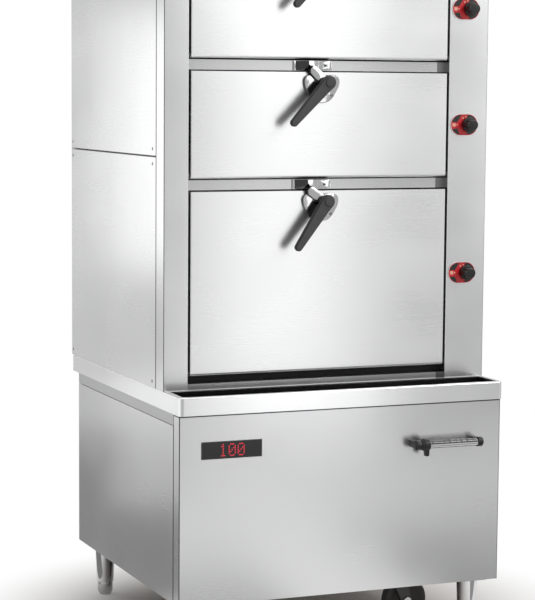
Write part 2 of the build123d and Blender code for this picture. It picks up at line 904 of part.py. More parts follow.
def latch_tongue(bay):
    """Tongue with its hub, the spindle behind it and the column that carries the lever."""
    plane = front_plane(latch_x, cabinet_front, latch_centre(bay))
    back = Pos(0, 0, tongue_standoff)
    blade = Pos(0, tongue_length / 2) * Rectangle(tongue_width, tongue_length)
    blade = chamfer(blade.vertices().sort_by(Axis.Y)[-2:], tongue_tip_chamfer)
    turn = Rot(0, 0, 90 - lever_angle[bay])
    tongue = extrude(plane * back * turn * blade, amount=tongue_thickness)
    tongue += extrude(plane * back * Circle(hub_outer_radius), amount=tongue_thickness + 1)
    tongue += extrude(plane * back * Circle(column_radius), amount=lever_standoff - tongue_standoff)
    spindle_start = Pos(0, 0, shield_thickness - spindle_depth)
    spindle = extrude(plane * spindle_start * Circle(spindle_radius), amount=spindle_depth + tongue_standoff)
    return tongue + spindle


def latch_lever(bay):
    """Tapered lever, cranked outwards past its root, with a round cap over the spindle."""
    plane = front_plane(latch_x, cabinet_front, latch_centre(bay)) * Rot(0, 0, -lever_angle[bay])
    tip = Pos(0, lever_tip_radius - lever_length) * Circle(lever_tip_radius)
    outline = make_hull(Circle(lever_root_radius).edges() + tip.edges())
    reach = lever_root_radius + 1
    top = lever_standoff + lever_thickness
    side = Polyline((reach, lever_standoff), (-lever_straight, lever_standoff),
                    (-lever_length - 1, lever_standoff + lever_rise),
                    (-lever_length - 1, top + lever_rise - lever_tip_taper),
                    (-lever_straight, top), (reach, top), close=True)
    side_plane = Plane(origin=(-reach, 0, 0), x_dir=(0, 1, 0), z_dir=(1, 0, 0))
    crank = extrude(side_plane * make_face(side), amount=2 * reach)
    lever = extrude(outline, amount=2 * top) & crank
    lever = chamfer(lever.faces().sort_by(Axis.Z)[-1].edges(), lever_edge_bevel)
    cap = Pos(0, 0, top) * Cylinder(lever_cap_radius, 2 * lever_cap_height)
    return plane * (lever + chamfer(cap.edges().sort_by(Axis.Z)[-1], lever_cap_height / 2))


def keeper(bay):
    """Keeper on the bar: a base, a ramp with a notch for the tongue, and a lug for the screw."""
    low, high = bar_levels(bay)
    middle = (low + high) / 2
    left = latch_x - keeper_reach
    right = left + keeper_width
    z = about(middle, keeper_height)
    bar_face = cabinet_front + bar_recess
    front = cabinet_front - keeper_proud
    base = block((left, right), (bar_face - keeper_base, bar_face), z)
    split = left + keeper_split
    ramp_end = split + keeper_notch_width / 2
    toe = left + keeper_toe
    ramp_plan = Polyline((toe, bar_face - keeper_base), (toe + keeper_slope, front), (ramp_end, front),
                         (ramp_end, bar_face), (toe, bar_face), close=True)
    ramp = extrude(Pos(0, 0, z[0]) * make_face(ramp_plan), amount=keeper_height)
    notch_x = split - keeper_notch_width / 2
    half_notch = keeper_notch_width / 2
    notch = Polyline((notch_x - half_notch, z[0] - 1), (notch_x + half_notch, z[0] - 1),
                     (notch_x, z[0] + keeper_notch_depth), close=True)
    notch_floor = front_plane(0, bar_face - keeper_base, 0)
    ramp -= extrude(notch_floor * make_face(notch), amount=bar_recess + keeper_proud)
    lug = block((ramp_end, right), (front + 2, bar_face), z)
    lug = fillet(lug.edges().filter_by(Axis.Y).sort_by(Axis.X)[-2:], 3)
    screw_x = right - keeper_screw_inset
    lug -= round_bar(keeper_screw_radius, (screw_x, front, middle), (screw_x, front + 5, middle))
    return base + ramp + lug


def keepers():
    """The keepers of the three latches."""
    return [keeper(bay) for bay in bays]


# Steam knobs, labels and the steam pipe

def knob(bay):
    """Knob with a round skirt, a grip that points to the left, and its stem."""
    gap = label_thickness + turning_gap
    plane = front_plane(knob_x, cabinet_front - gap, knob_z[bay])
    skirt = extrude(plane * Circle(knob_radius), amount=knob_skirt_height)
    skirt = chamfer(skirt.edges().filter_by(GeomType.CIRCLE).sort_by(Axis.Y)[0], knob_edge_chamfer)
    grip_outline = Circle(knob_radius * 0.72) & Rectangle(3 * knob_radius, 2 * knob_grip_width)
    pointer = Pos(-knob_radius * 0.5, 0) * Rectangle(knob_radius, knob_grip_width)
    grip = extrude(plane * (grip_outline + pointer), amount=knob_height)
    grip = chamfer(grip.faces().sort_by(Axis.Y)[0].edges(), knob_edge_chamfer)
    stem_end = cabinet_front + valve_depth - valve_neck_length + stem_engagement
    stem = round_bar(knob_stem_radius, (knob_x, cabinet_front - gap, knob_z[bay]),
                     (knob_x, stem_end, knob_z[bay]))
    return skirt + grip + stem


def label_plates():
    """Plate behind each knob: round about the knob, long to the left."""
    plates = []
    for z in knob_z.values():
        plane = front_plane(knob_x, cabinet_front, z)
        radius = label_height / 2
        straight = label_reach - radius
        outline = Circle(radius) + Pos(-straight, 0) * Circle(radius)
        outline += Pos(-straight / 2, 0) * Rectangle(straight, label_height)
        outline -= Circle(knob_stem_radius + hole_clearance)
        plates.append(extrude(plane * outline, amount=label_thickness))
    return plates


def steam_pipe():
    """Riser from the tank with a valve and a branch for each chamber, welded into one manifold."""
    riser_y = cabinet_front + valve_depth
    outlet_y = base_middle - tank_length / 2 + steam_outlet_inset
    tank_top = tank_bottom + tank_height
    level = tank_top + steam_pipe_rise
    top = knob_z["upper"] + valve_length / 2
    manifold = mitred_bar(steam_pipe_radius, [(steam_outlet_x, outlet_y, tank_top - tank_wall),
                                              (steam_outlet_x, outlet_y, level),
                                              (knob_x, riser_y, level), (knob_x, riser_y, top)])
    liner_wall = chamber_mouth("lower")[0][1]
    for z in knob_z.values():
        centre = (knob_x, riser_y, z)
        neck_end = riser_y - valve_neck_length
        manifold += block(about(knob_x, valve_width), about(riser_y, valve_width), about(z, valve_length))
        manifold += round_bar(branch_radius, centre, (liner_wall - branch_reach, riser_y, z))
        manifold += round_bar(valve_neck_radius, centre, (knob_x, neck_end, z))
        manifold -= round_bar(knob_stem_radius + shaft_clearance, (knob_x, neck_end - 1, z),
                              (knob_x, neck_end + stem_engagement + 2, z))
    return manifold


# Boiler

tank_bottom = beam_underside + tube_size + runner_height
float_pivot_z = tank_bottom + tank_height - float_pivot_drop
float_pivot_x = -tank_width / 2 + float_pivot_inset


def boiler_tank():
    """Closed tank on two runners, with the steam outlet, the drain hole and the ears for the float."""
    x = about(0, tank_width)
    y = about(base_middle, tank_length)
    z = (tank_bottom, tank_bottom + tank_height)
    shell = fillet(block(x, y, z).edges().filter_by(Axis.Z), tank_edge_radius)
    cavity = block((x[0] + tank_wall, x[1] - tank_wall), (y[0] + tank_wall, y[1] - tank_wall),
                   (z[0] + tank_wall, z[1] - tank_wall))
    cavity = chamfer(cavity.edges().filter_by(Axis.Z), tank_edge_radius - tank_wall)
    tank = shell - cavity
    for runner_x in both_sides(tank_width / 2 - runner_inset - runner_width, tank_width / 2 - runner_inset):
        tank += block(runner_x, y, (tank_bottom - runner_height, tank_bottom))
    inner = float_arm_thickness / 2 + turning_gap
    ear_y = (inner, inner + float_ear_thickness)
    for side in (-1, 1):
        ends = sorted(base_middle + side * edge for edge in ear_y)
        tank += block((x[0] + tank_wall / 2, float_pivot_x + float_eye_radius), ends,
                      about(float_pivot_z, 2 * float_eye_radius))
    tank += round_bar(float_pivot_radius, (float_pivot_x, base_middle - inner - 1, float_pivot_z),
                      (float_pivot_x, base_middle + inner + 1, float_pivot_z))
    outlet_y = y[0] + steam_outlet_inset
    outlet = round_bar(steam_pipe_radius, (steam_outlet_x, outlet_y, z[1] - 2 * tank_wall),
                       (steam_outlet_x, outlet_y, z[1] + 1))
    drain = round_bar(drain_pipe_radius, (drain_x, base_middle, z[0] - 1),
                      (drain_x, base_middle, z[0] + 2 * tank_wall))
    return tank - outlet - drain


def float_arm():
    """Closed float on a flat arm, drooping to its lower stop."""
    arm = block((0, float_arm_length + float_bevel), about(0, float_arm_thickness), about(0, float_arm_width))
    half = float_arm_thickness / 2
    arm += round_bar(float_eye_radius, (0, -half, 0), (0, half, 0))
    body = round_bar(float_radius, (float_arm_length, 0, 0), (float_arm_length + float_length, 0, 0))
    arm += chamfer(body.edges().filter_by(GeomType.CIRCLE), float_bevel)
    arm -= round_bar(float_pivot_radius + shaft_clearance, (0, -2 * half, 0), (0, 2 * half, 0))
    return Pos(float_pivot_x, base_middle, float_pivot_z) * Rot(0, float_droop, 0) * arm


def induction_coil():
    """Potted flat coil on a carrier plate that lies on the tank beams."""
    beams = tank_beam_ends()
    bottom = beam_underside + tube_size
    top = bottom + coil_plate_thickness + coil_thickness
    carrier = block(about(0, coil_plate_width), (beams[0][0], beams[1][1]),
                    (bottom, bottom + coil_plate_thickness))
    coil = round_bar(coil_outer_radius, (0, base_middle, bottom), (0, base_middle, top))
    return carrier + coil - round_bar(coil_inner_radius, (0, base_middle, bottom + coil_plate_thickness),
                                      (0, base_middle, top + 1))


# Power unit and fan

power_unit_rear = frame_rear - tube_size - hole_clearance
fan_x = power_unit_left + power_unit_width / 2


def fan_centre_z():
    """Height of the fan's axis."""
    return floor_top + power_unit_height / 2


def power_unit():
    """Hollow housing with a round fan shroud and its spindle at the rear end."""
    x = (power_unit_left, power_unit_left + power_unit_width)
    y = (power_unit_rear - power_unit_length, power_unit_rear)
    z = (floor_top, floor_top + power_unit_height)
    shroud_floor = power_unit_rear - fan_shroud_depth
    housing = block(x, y, z)
    housing -= block((x[0] + sheet, x[1] - sheet), (y[0] + sheet, shroud_floor - sheet),
                     (z[0] + sheet, z[1] - sheet))
    centre_z = fan_centre_z()
    housing -= round_bar(fan_radius + fan_tip_gap, (fan_x, shroud_floor, centre_z),
                         (fan_x, power_unit_rear + 1, centre_z))
    return housing + round_bar(fan_spindle_radius, (fan_x, shroud_floor - sheet / 2, centre_z),
                               (fan_x, power_unit_rear - 2, centre_z))


def fan_blade():
    """One pitched blade that widens from the hub outwards along X, the fan's axis along Z."""
    root = fan_hub_radius - 2
    outline = Polyline((root, -blade_root_chord / 2), (fan_radius, -blade_tip_chord / 2),
                       (fan_radius, blade_tip_chord / 2), (root, blade_root_chord / 2), close=True)
    return Rot(blade_pitch, 0, 0) * extrude(make_face(outline), amount=blade_thickness / 2, both=True)


def fan_rotor():
    """Hub with pitched blades round it."""
    rotor = Cylinder(fan_hub_radius, fan_hub_length)
    for number in range(fan_blades):
        rotor += Rot(0, 0, number * 360 / fan_blades) * fan_blade()
    rotor &= Cylinder(fan_radius, 2 * fan_hub_length)
    rotor -= Cylinder(fan_spindle_radius + shaft_clearance, 2 * fan_hub_length)
    middle_y = power_unit_rear - fan_shroud_depth / 2
    return Plane(origin=(fan_x, middle_y, fan_centre_z()), z_dir=(0, 1, 0)) * rotor


# Fittings

def water_inlet():
    """Threaded stub outside the back panel, with a hexagon flange outside and a nut inside."""
    start = frame_rear + sheet
    flange_end = base_rear + inlet_flange_thickness
    plane = Plane(origin=(inlet_x, base_rear, fitting_z), z_dir=(0, 1, 0))
    hexagon = RegularPolygon(inlet_flange_radius, 6)
    inlet = extrude(plane * hexagon, amount=inlet_flange_thickness)
    nut = Plane(origin=(inlet_x, base_rear - sheet, fitting_z), z_dir=(0, -1, 0)) * hexagon
    inlet += extrude(nut, amount=inlet_flange_thickness)
    stub_end = (inlet_x, flange_end + inlet_length, fitting_z)
    return inlet + round_bar(inlet_radius, (inlet_x, start, fitting_z), stub_end)


def cable_gland():
    """Gland for the supply cable: hexagon, bevelled nut and a blind bore."""
    plane = Plane(origin=(gland_x, base_rear, fitting_z), z_dir=(0, 1, 0))
    gland = extrude(plane * RegularPolygon(gland_radius, 6), amount=gland_length * 0.35)
    outer_end = (gland_x, base_rear + gland_length, fitting_z)
    dome = round_bar(gland_radius * 0.82, (gland_x, base_rear, fitting_z), outer_end)
    dome = chamfer(dome.edges().filter_by(GeomType.CIRCLE).sort_by(Axis.Y)[-1], gland_dome_bevel)
    thread = round_bar(gland_thread_radius, (gland_x, frame_rear + sheet, fitting_z),
                       (gland_x, base_rear, fitting_z))
    gland += dome + thread
    return gland - round_bar(gland_bore_radius, (gland_x, base_rear, fitting_z),
                             (gland_x, base_rear + gland_length + 1, fitting_z))


drain_z = base_bottom - drain_drop
drain_valve_y = base_middle + drain_valve_from + drain_valve_length / 2
drain_lever_top = drain_z - drain_valve_radius - 8


def drain_valve():
    """Drain pipe from the tank, through the floor, with a ball valve and the stem for its lever."""
    drain = mitred_bar(drain_pipe_radius, [(drain_x, base_middle, tank_bottom + tank_wall),
                                           (drain_x, base_middle, drain_z),
                                           (drain_x, base_middle + drain_run, drain_z)])
    body_y = about(drain_valve_y, drain_valve_length)
    drain += round_bar(drain_valve_radius, (drain_x, body_y[0], drain_z), (drain_x, body_y[1], drain_z))
    stem_bottom = drain_lever_top - drain_lever_thickness - turning_gap
    stem_axis = (drain_x, drain_valve_y)
    drain += round_bar(drain_stem_radius, (*stem_axis, drain_z), (*stem_axis, stem_bottom - 1))
    return drain + round_bar(drain_stem_head, (*stem_axis, stem_bottom), (*stem_axis, stem_bottom - 3))


def drain_lever():
    """Flat lever of the drain valve, across the pipe when the valve is shut."""
    plane = Plane(origin=(drain_x, drain_valve_y, drain_lever_top - drain_lever_thickness))
    width = drain_lever_width
    outline = Circle(width * 0.7) + Pos(-drain_lever_length / 2, 0) * Rectangle(drain_lever_length, width)
    outline += Pos(-drain_lever_length, 0) * Circle(width / 2)
    outline -= Circle(drain_stem_radius + shaft_clearance)
    return extrude(plane * outline, amount=drain_lever_thickness)


def save(name, shape):
    """Write one piece, or a group of like pieces, to its own file."""
    pieces = shape if isinstance(shape, list) else [shape]
    solids = [solid for piece in pieces for solid in piece.solids()]
    export_step(solids[0] if len(solids) == 1 else Compound(solids), f"parts/{name}.step")


def build_all():
    """Every piece of the cabinet, by name."""
    nodes = {
        "base_frame": base_frame(),
        "base_front_panel": base_front_panel(),
        "base_side_panels": base_side_panels(),
        "base_back_panel": base_back_panel(),
        "base_floor": base_floor(),
        "worktop": worktop(),
        "leg_tubes": leg_tubes(),
        "castor_mounts": castor_mounts(),
        "display_unit": display_unit(),
        "power_mounts": power_mounts(),
        "power_tube": power_tube(),
        "power_slider": power_slider(),
        "stiles": stiles(),
        "cross_bars": cross_bars(),
        "upper_side_panels": upper_side_panels(),
        "back_panel": back_panel(),
        "top_panel": top_panel(),
        "shelf_plates": shelf_plates(),
        "door_gaskets": door_gaskets(),
        "hinge_pivots": hinge_pivots(),
        "keepers": keepers(),
        "label_plates": label_plates(),
        "steam_pipe": steam_pipe(),
        "boiler_tank": boiler_tank(),
        "float_arm": float_arm(),
        "induction_coil": induction_coil(),
        "power_unit": power_unit(),
        "fan_rotor": fan_rotor(),
        "water_inlet": water_inlet(),
        "cable_gland": cable_gland(),
        "drain_valve": drain_valve(),
        "drain_lever": drain_lever(),
    }
    for place, (x, y) in leg_places().items():
        nodes[f"foot_{place}"] = levelling_foot(x, y)
    for place, (x, y) in castor_places().items():
        swivels = place.startswith("front")
        if swivels:
            nodes[f"castor_fork_{place}"] = swivel_fork(x, y)
        nodes[f"castor_wheel_{place}"] = castor_wheel(x + castor_trail * swivels, y, 0 if swivels else 90)
    for bay in bays:
        nodes[f"chamber_liner_{bay}"] = chamber_liner(bay)
        nodes[f"door_{bay}"] = door(bay)
        nodes[f"latch_shield_{bay}"] = latch_shield(bay)
        nodes[f"latch_tongue_{bay}"] = latch_tongue(bay)
        nodes[f"latch_lever_{bay}"] = latch_lever(bay)
        nodes[f"knob_{bay}"] = knob(bay)
    return nodes


os.makedirs("parts", exist_ok=True)
for node_name, node_shape in build_all().items():
    save(node_name, node_shape)
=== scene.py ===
import json
from math import cos, pi, radians, sin

import bmesh
import bpy
from mathutils import Matrix, Vector

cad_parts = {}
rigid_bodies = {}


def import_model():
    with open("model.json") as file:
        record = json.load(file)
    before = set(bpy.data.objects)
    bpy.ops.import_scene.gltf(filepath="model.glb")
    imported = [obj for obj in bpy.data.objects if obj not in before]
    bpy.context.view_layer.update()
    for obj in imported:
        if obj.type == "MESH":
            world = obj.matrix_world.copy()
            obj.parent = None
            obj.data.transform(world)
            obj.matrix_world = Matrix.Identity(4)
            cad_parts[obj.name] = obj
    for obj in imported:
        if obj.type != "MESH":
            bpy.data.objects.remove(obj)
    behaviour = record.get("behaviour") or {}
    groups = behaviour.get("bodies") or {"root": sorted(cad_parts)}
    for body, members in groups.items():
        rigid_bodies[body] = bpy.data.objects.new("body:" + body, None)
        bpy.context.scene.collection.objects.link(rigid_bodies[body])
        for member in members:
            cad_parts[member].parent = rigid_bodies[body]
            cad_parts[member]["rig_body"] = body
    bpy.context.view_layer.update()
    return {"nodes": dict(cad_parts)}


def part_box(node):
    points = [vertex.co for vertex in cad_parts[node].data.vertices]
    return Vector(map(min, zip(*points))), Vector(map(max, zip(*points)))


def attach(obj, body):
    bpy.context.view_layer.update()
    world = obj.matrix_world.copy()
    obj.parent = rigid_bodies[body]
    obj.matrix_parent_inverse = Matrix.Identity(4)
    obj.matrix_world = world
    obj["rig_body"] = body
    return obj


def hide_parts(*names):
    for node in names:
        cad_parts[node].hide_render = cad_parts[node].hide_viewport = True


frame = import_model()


# Base frame and floor plate
# Square steel tube, welded into a frame that carries the casing, the legs and the boiler, with a
# sheet floor on it. It keeps its mill finish, a little darker and rougher than the casing.
class Level:
    """The output of a shader node. An expression on levels adds its Math nodes."""

    def __init__(self, finish, socket):
        self.finish = finish
        self.socket = socket

    def reckon(self, operation, first, second):
        """One Math node, on two levels or on a level and a number."""
        return self.finish.node("ShaderNodeMath", {"operation": operation}, {0: first, 1: second})

    def __add__(self, other):
        return self.reckon("ADD", self, other)

    def __radd__(self, other):
        return self.reckon("ADD", other, self)

    def __sub__(self, other):
        return self.reckon("SUBTRACT", self, other)

    def __rsub__(self, other):
        return self.reckon("SUBTRACT", other, self)

    def __mul__(self, other):
        return self.reckon("MULTIPLY", self, other)

    def __rmul__(self, other):
        return self.reckon("MULTIPLY", other, self)

    def __gt__(self, other):
        return self.reckon("GREATER_THAN", self, other)

    def __lt__(self, other):
        return self.reckon("LESS_THAN", self, other)


class Finish:
    """A material: its shader's plain values, and nodes for what changes over the surface."""

    def __init__(self, name, values):
        self.material = bpy.data.materials.new(name)
        self.material.use_nodes = True
        self.tree = self.material.node_tree
        self.surface = self.tree.nodes["Principled BSDF"]
        self.shade = None
        for socket, value in values.items():
            self.surface.inputs[socket].default_value = value

    def node(self, kind, settings, inputs, output=0):
        """Adds a node, given its settings and its inputs' values or links, for one output."""
        made = self.tree.nodes.new(kind)
        for name, value in settings.items():
            setattr(made, name, value)
        for name, value in inputs.items():
            if isinstance(value, Level):
                self.tree.links.new(value.socket, made.inputs[name])
            else:
                made.inputs[name].default_value = value
        return Level(self, made.outputs[output])

    def feed(self, socket, level):
        """Leads a level to one of the surface shader's sockets."""
        self.tree.links.new(level.socket, self.surface.inputs[socket])

    def place(self, stretch=(1, 1, 1)):
        """Object coordinates in metres, stretched."""
        here = self.node("ShaderNodeTexCoord", {}, {}, "Object")
        return self.node("ShaderNodeMapping", {}, {"Vector": here, "Scale": stretch})

    def axis(self, number):
        """One of the object coordinates: 0 across, 1 front to back, 2 height."""
        return self.node("ShaderNodeSeparateXYZ", {}, {"Vector": self.place()}, number)

    def facing(self, number):
        """One part of the way that the surface faces, numbered as the axes are."""
        way = self.node("ShaderNodeTexCoord", {}, {}, "Normal")
        return self.node("ShaderNodeSeparateXYZ", {}, {"Vector": way}, number)

    def noise(self, size, stretch=(1, 1, 1), detail=3.0):
        """Smooth noise from 0 to 1, whose lumps have this size in metres times the stretch."""
        scales = tuple(1 / (size * way) for way in stretch)
        return self.node("ShaderNodeTexNoise", {},
                         {"Vector": self.place(scales), "Scale": 1.0, "Detail": detail})

    def tint(self, dark, light, mask):
        """A colour between two, by the mask. The Mix node's colour sockets go by number."""
        factor, first, second, result = 0, 6, 7, 2
        return self.node("ShaderNodeMix", {"data_type": "RGBA"},
                         {factor: mask, first: dark, second: light}, result)

    def bump(self, height, depth, below=None):
        """A surface normal raised by the height, 0 to 1, times the depth in metres."""
        inputs = {"Height": height, "Distance": depth, "Strength": 1.0}
        if below is not None:
            inputs["Normal"] = below
        return self.node("ShaderNodeBump", {}, inputs)


def grey(level, warmth=0.0):
    """A plain grey as a colour, a little warmer or cooler."""
    return (level * (1 + warmth), level, level * (1 - warmth), 1)


def satin_sheet(name, brightness, roughness, grain_pull, smear_size):
    """Sheet with a level satin grain, faint smears from wiping, and thin metal's slow waves."""
    grain_width, grain_run, grain_depth = 0.0013, 300, 0.000002
    band_width, band_run = 0.016, 60
    wave_width, wave_rise, wave_depth = 0.4, 1.4, 0.0014
    smear_run, coolness = 1.6, -0.003
    finish = Finish(name, {"Metallic": 1.0, "Anisotropic": grain_pull,
                           "Anisotropic Rotation": 0.25})
    grain = finish.noise(grain_width, (grain_run, grain_run, 1), 1.0)
    band = finish.noise(band_width, (band_run, band_run, 1), 1.0)
    smear = finish.noise(smear_size, (smear_run, smear_run, 1), 1.5)
    wave = finish.noise(wave_width, (1, 1, wave_rise), 2.0)
    mask = 0.22 * grain + 0.06 * band + 0.72 * smear
    dark = grey(0.96 * brightness, coolness)
    light = grey(min(1.04 * brightness, 1), coolness)
    finish.shade = finish.tint(dark, light, mask)
    finish.feed("Base Color", finish.shade)
    finish.feed("Roughness", roughness + 0.10 * (smear - 0.5) + 0.03 * (grain - 0.5))
    finish.feed("Normal", finish.bump(grain, grain_depth, finish.bump(wave, wave_depth)))
    return finish


def stain(finish, mask, colour):
    """Lays another colour over the finish where the mask is 1, mostly painted shade or reflection.
    """
    finish.shade = finish.tint(finish.shade, colour, mask)
    finish.feed("Base Color", finish.shade)


def dress(finish, *nodes):
    """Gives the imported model's own pieces a finish."""
    for name in nodes:
        for slot in frame["nodes"][name].material_slots:
            slot.material = finish.material


mill_steel = satin_sheet("mill_steel", 0.60, 0.36, 0.0, 0.12)
dress(mill_steel, "base_frame", "base_floor")


# Base casing
# Front, side and back panels of satin stainless sheet, folded at their edges and hung on the
# frame. The seams are too thin to show from afar, so a line of painted shade is laid along each.
casing_steel = satin_sheet("casing_steel", 0.74, 0.25, 0.4, 0.16)
base_low, base_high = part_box("base_front_panel")
rim_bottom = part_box("worktop")[0].z
joint_line, corner_line = 0.0045, 0.0022
under_rim = casing_steel.axis(2) > rim_bottom - joint_line
behind_front = casing_steel.axis(1) > base_low.y + corner_line
at_left_fold = casing_steel.axis(0) < base_low.x + corner_line
at_right_fold = casing_steel.axis(0) > base_high.x - corner_line
at_fold = at_left_fold + at_right_fold
behind_return = casing_steel.axis(1) > base_high.y - corner_line
before_side = casing_steel.axis(1) < base_high.y + 2 * corner_line
# Painted shade: dark lines under the rim and down the folded corners, where the seams' shadow
# falls.
stain(casing_steel, under_rim, grey(0.09))
stain(casing_steel, at_fold * (1 - behind_front), grey(0.12))
stain(casing_steel, at_fold * (behind_return * before_side), grey(0.12))
dress(casing_steel, "base_front_panel", "base_side_panels")
back_steel = satin_sheet("back_steel", 0.74, 0.34, 0.0, 0.2)
dress(back_steel, "base_back_panel")


# Worktop
# Pressed from thicker sheet, with a rolled rim and a trough that catches what drips off the doors.
# The trough is painted darker inside, as painted shade in its deep recess, mottled a little.
worktop_steel = satin_sheet("worktop_steel", 0.92, 0.22, 0.0, 0.15)
deck_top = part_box("worktop")[1].z
worktop_low, worktop_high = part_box("worktop")
trough_drop, trough_lip = 0.003, 0.0135
in_trough = worktop_steel.axis(2) < deck_top - trough_drop
behind_rim = worktop_steel.axis(1) > worktop_low.y + trough_lip
before_back = worktop_steel.axis(1) < worktop_high.y - trough_lip
right_of_rim = worktop_steel.axis(0) > worktop_low.x + trough_lip
left_of_rim = worktop_steel.axis(0) < worktop_high.x - trough_lip
# Painted shade inside the trough, mottled so that it is not flat.
trough_shade_mottle = worktop_steel.noise(0.03, (2, 1, 1), 4.0)
trough_shade = worktop_steel.tint(grey(0.11, 0.01), grey(0.17, 0.01), trough_shade_mottle)
stain(worktop_steel, in_trough * behind_rim * before_back * (right_of_rim * left_of_rim),
      trough_shade)
dress(worktop_steel, "worktop")


# Legs and levelling feet
# Four tapered legs, polished, each with a turned foot on a threaded stud below it.
# Turning leaves fine rings round them, and the feet are duller where they stand on a wet floor.
corners = ("front_left", "front_right", "rear_left", "rear_right")


def polished(name, colour, roughness):
    """Metal turned or rubbed bright, with fine rings and faint marks."""
    ring_width, ring_run, ring_depth, mark_size = 0.0012, 60, 0.00001, 0.03
    finish = Finish(name, {"Metallic": 1.0})
    rings = finish.noise(ring_width, (ring_run, ring_run, 1), 2.0)
    marks = finish.noise(mark_size, (1, 1, 1), 3.0)
    dark = tuple(0.9 * channel for channel in colour[:3]) + (1,)
    finish.feed("Base Color", finish.tint(dark, colour, marks))
    finish.feed("Roughness", roughness + 0.08 * (marks - 0.5) + 0.06 * (rings - 0.5))
    finish.feed("Normal", finish.bump(rings, ring_depth))
    return finish


def settle(piece, body):
    """A finished piece goes into the scene with its body."""
    bpy.context.collection.objects.link(piece)
    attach(piece, body)


def smooth(mesh, crease):
    """Smooth shading that stops at edges sharper than the crease, in degrees."""
    mesh.shade_smooth()
    mesh.set_sharp_from_angle(angle=radians(crease))


def softened(name, node, finish, width, rings=3):
    """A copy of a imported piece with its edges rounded, which stands for it on the same body."""
    weld, level_angle, edge_angle, crease = 0.00001, 1, 40, 38
    source = frame["nodes"][node]
    shape = bmesh.new()
    shape.from_mesh(source.data)
    bmesh.ops.remove_doubles(shape, verts=shape.verts, dist=weld)
    bmesh.ops.dissolve_limit(shape, angle_limit=radians(level_angle),
                             verts=shape.verts, edges=shape.edges)
    mesh = bpy.data.meshes.new(name)
    shape.to_mesh(mesh)
    shape.free()
    draft = bpy.data.objects.new(name + "_draft", mesh)
    bpy.context.collection.objects.link(draft)
    rounding = draft.modifiers.new("rounding", "BEVEL")
    rounding.width = width
    rounding.segments = rings
    rounding.limit_method = "ANGLE"
    rounding.angle_limit = radians(edge_angle)
    finished = draft.evaluated_get(bpy.context.evaluated_depsgraph_get())
    rounded = bpy.data.meshes.new_from_object(finished)
    bpy.data.objects.remove(draft)
    rounded.name = name
    rounded.materials.clear()
    rounded.materials.append(finish.material)
    smooth(rounded, crease)
    piece = bpy.data.objects.new(name, rounded)
    settle(piece, source["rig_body"])
    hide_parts(node)


leg_steel = polished("leg_steel", grey(0.70), 0.09)
foot_steel = polished("foot_steel", grey(0.55), 0.26)
dress(leg_steel, "leg_tubes")
for corner in corners:
    softened(f"levelling_foot_{corner}", f"foot_{corner}", foot_steel, 0.001)


# Castors
# Black rubber wheels in pressed, black lacquered forks under a top plate; the front pair swivels.
# Dust from the floor greys the tread, the lacquer has a faint orange peel, and the nuts are bright.
def lacquer(name, brightness, roughness):
    """Sprayed paint under a thin gloss, with orange peel and some dust."""
    peel_size, peel_depth, dust_size = 0.0025, 0.00004, 0.03
    finish = Finish(name, {"Coat Weight": 0.3, "Coat Roughness": 0.2})
    peel = finish.noise(peel_size, (1, 1, 1), 2.0)
    dust = finish.noise(dust_size, (1, 1, 1), 4.0)
    finish.shade = finish.tint(grey(brightness), grey(1.8 * brightness + 0.01, 0.02), dust)
    finish.feed("Base Color", finish.shade)
    finish.feed("Roughness", roughness + 0.2 * (dust - 0.5))
    finish.feed("Normal", finish.bump(peel, peel_depth))
    return finish


def turned(name, profile, centre, axis, finish, body, sides=64):
    """A shape turned about an axis through the centre, from a closed (radius, along) profile."""
    crease = 35
    turn = Vector((0, 0, 1)).rotation_difference(Vector(axis)).to_matrix()
    mesh = bpy.data.meshes.new(name)
    shape = bmesh.new()
    rings = []
    for side in range(sides):
        angle = 2 * pi * side / sides
        ring = [Vector((radius * cos(angle), radius * sin(angle), along))
                for radius, along in profile]
        rings.append([shape.verts.new(Vector(centre) + turn @ point) for point in ring])
    for number, ring in enumerate(rings):
        following = rings[(number + 1) % sides]
        for point in range(len(profile)):
            after = (point + 1) % len(profile)
            shape.faces.new((ring[point], ring[after], following[after], following[point]))
    bmesh.ops.recalc_face_normals(shape, faces=shape.faces)
    shape.to_mesh(mesh)
    shape.free()
    mesh.materials.append(finish.material)
    smooth(mesh, crease)
    piece = bpy.data.objects.new(name, mesh)
    settle(piece, body)
    return piece


fork_lacquer = lacquer("fork_lacquer", 0.018, 0.34)
dress(fork_lacquer, "castor_mounts")

swivel_lacquer = lacquer("swivel_lacquer", 0.018, 0.34)
axle_nut, head_height = 0.0047, 0.028
fork_low, fork_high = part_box("castor_fork_front_right")
on_left_nut = swivel_lacquer.axis(1) < fork_low.y + axle_nut
on_right_nut = swivel_lacquer.axis(1) > fork_high.y - axle_nut
below_head = swivel_lacquer.axis(2) < fork_high.z - head_height
on_nut = (on_left_nut + on_right_nut) * below_head
stain(swivel_lacquer, on_nut, grey(0.75))
swivel_lacquer.feed("Metallic", on_nut)
dress(swivel_lacquer, "castor_fork_front_left", "castor_fork_front_right")

wheel_rubber = Finish("wheel_rubber", {})
tread_dust = wheel_rubber.noise(0.012, (1, 1, 1), 5.0)
rubber_grain = wheel_rubber.noise(0.0015, (1, 1, 1), 3.0)
wheel_rubber.feed("Base Color", wheel_rubber.tint(grey(0.012), grey(0.055, 0.05), tread_dust))
wheel_rubber.feed("Roughness", 0.62 + 0.25 * (tread_dust - 0.5))
wheel_rubber.feed("Normal", wheel_rubber.bump(rubber_grain, 0.00008))

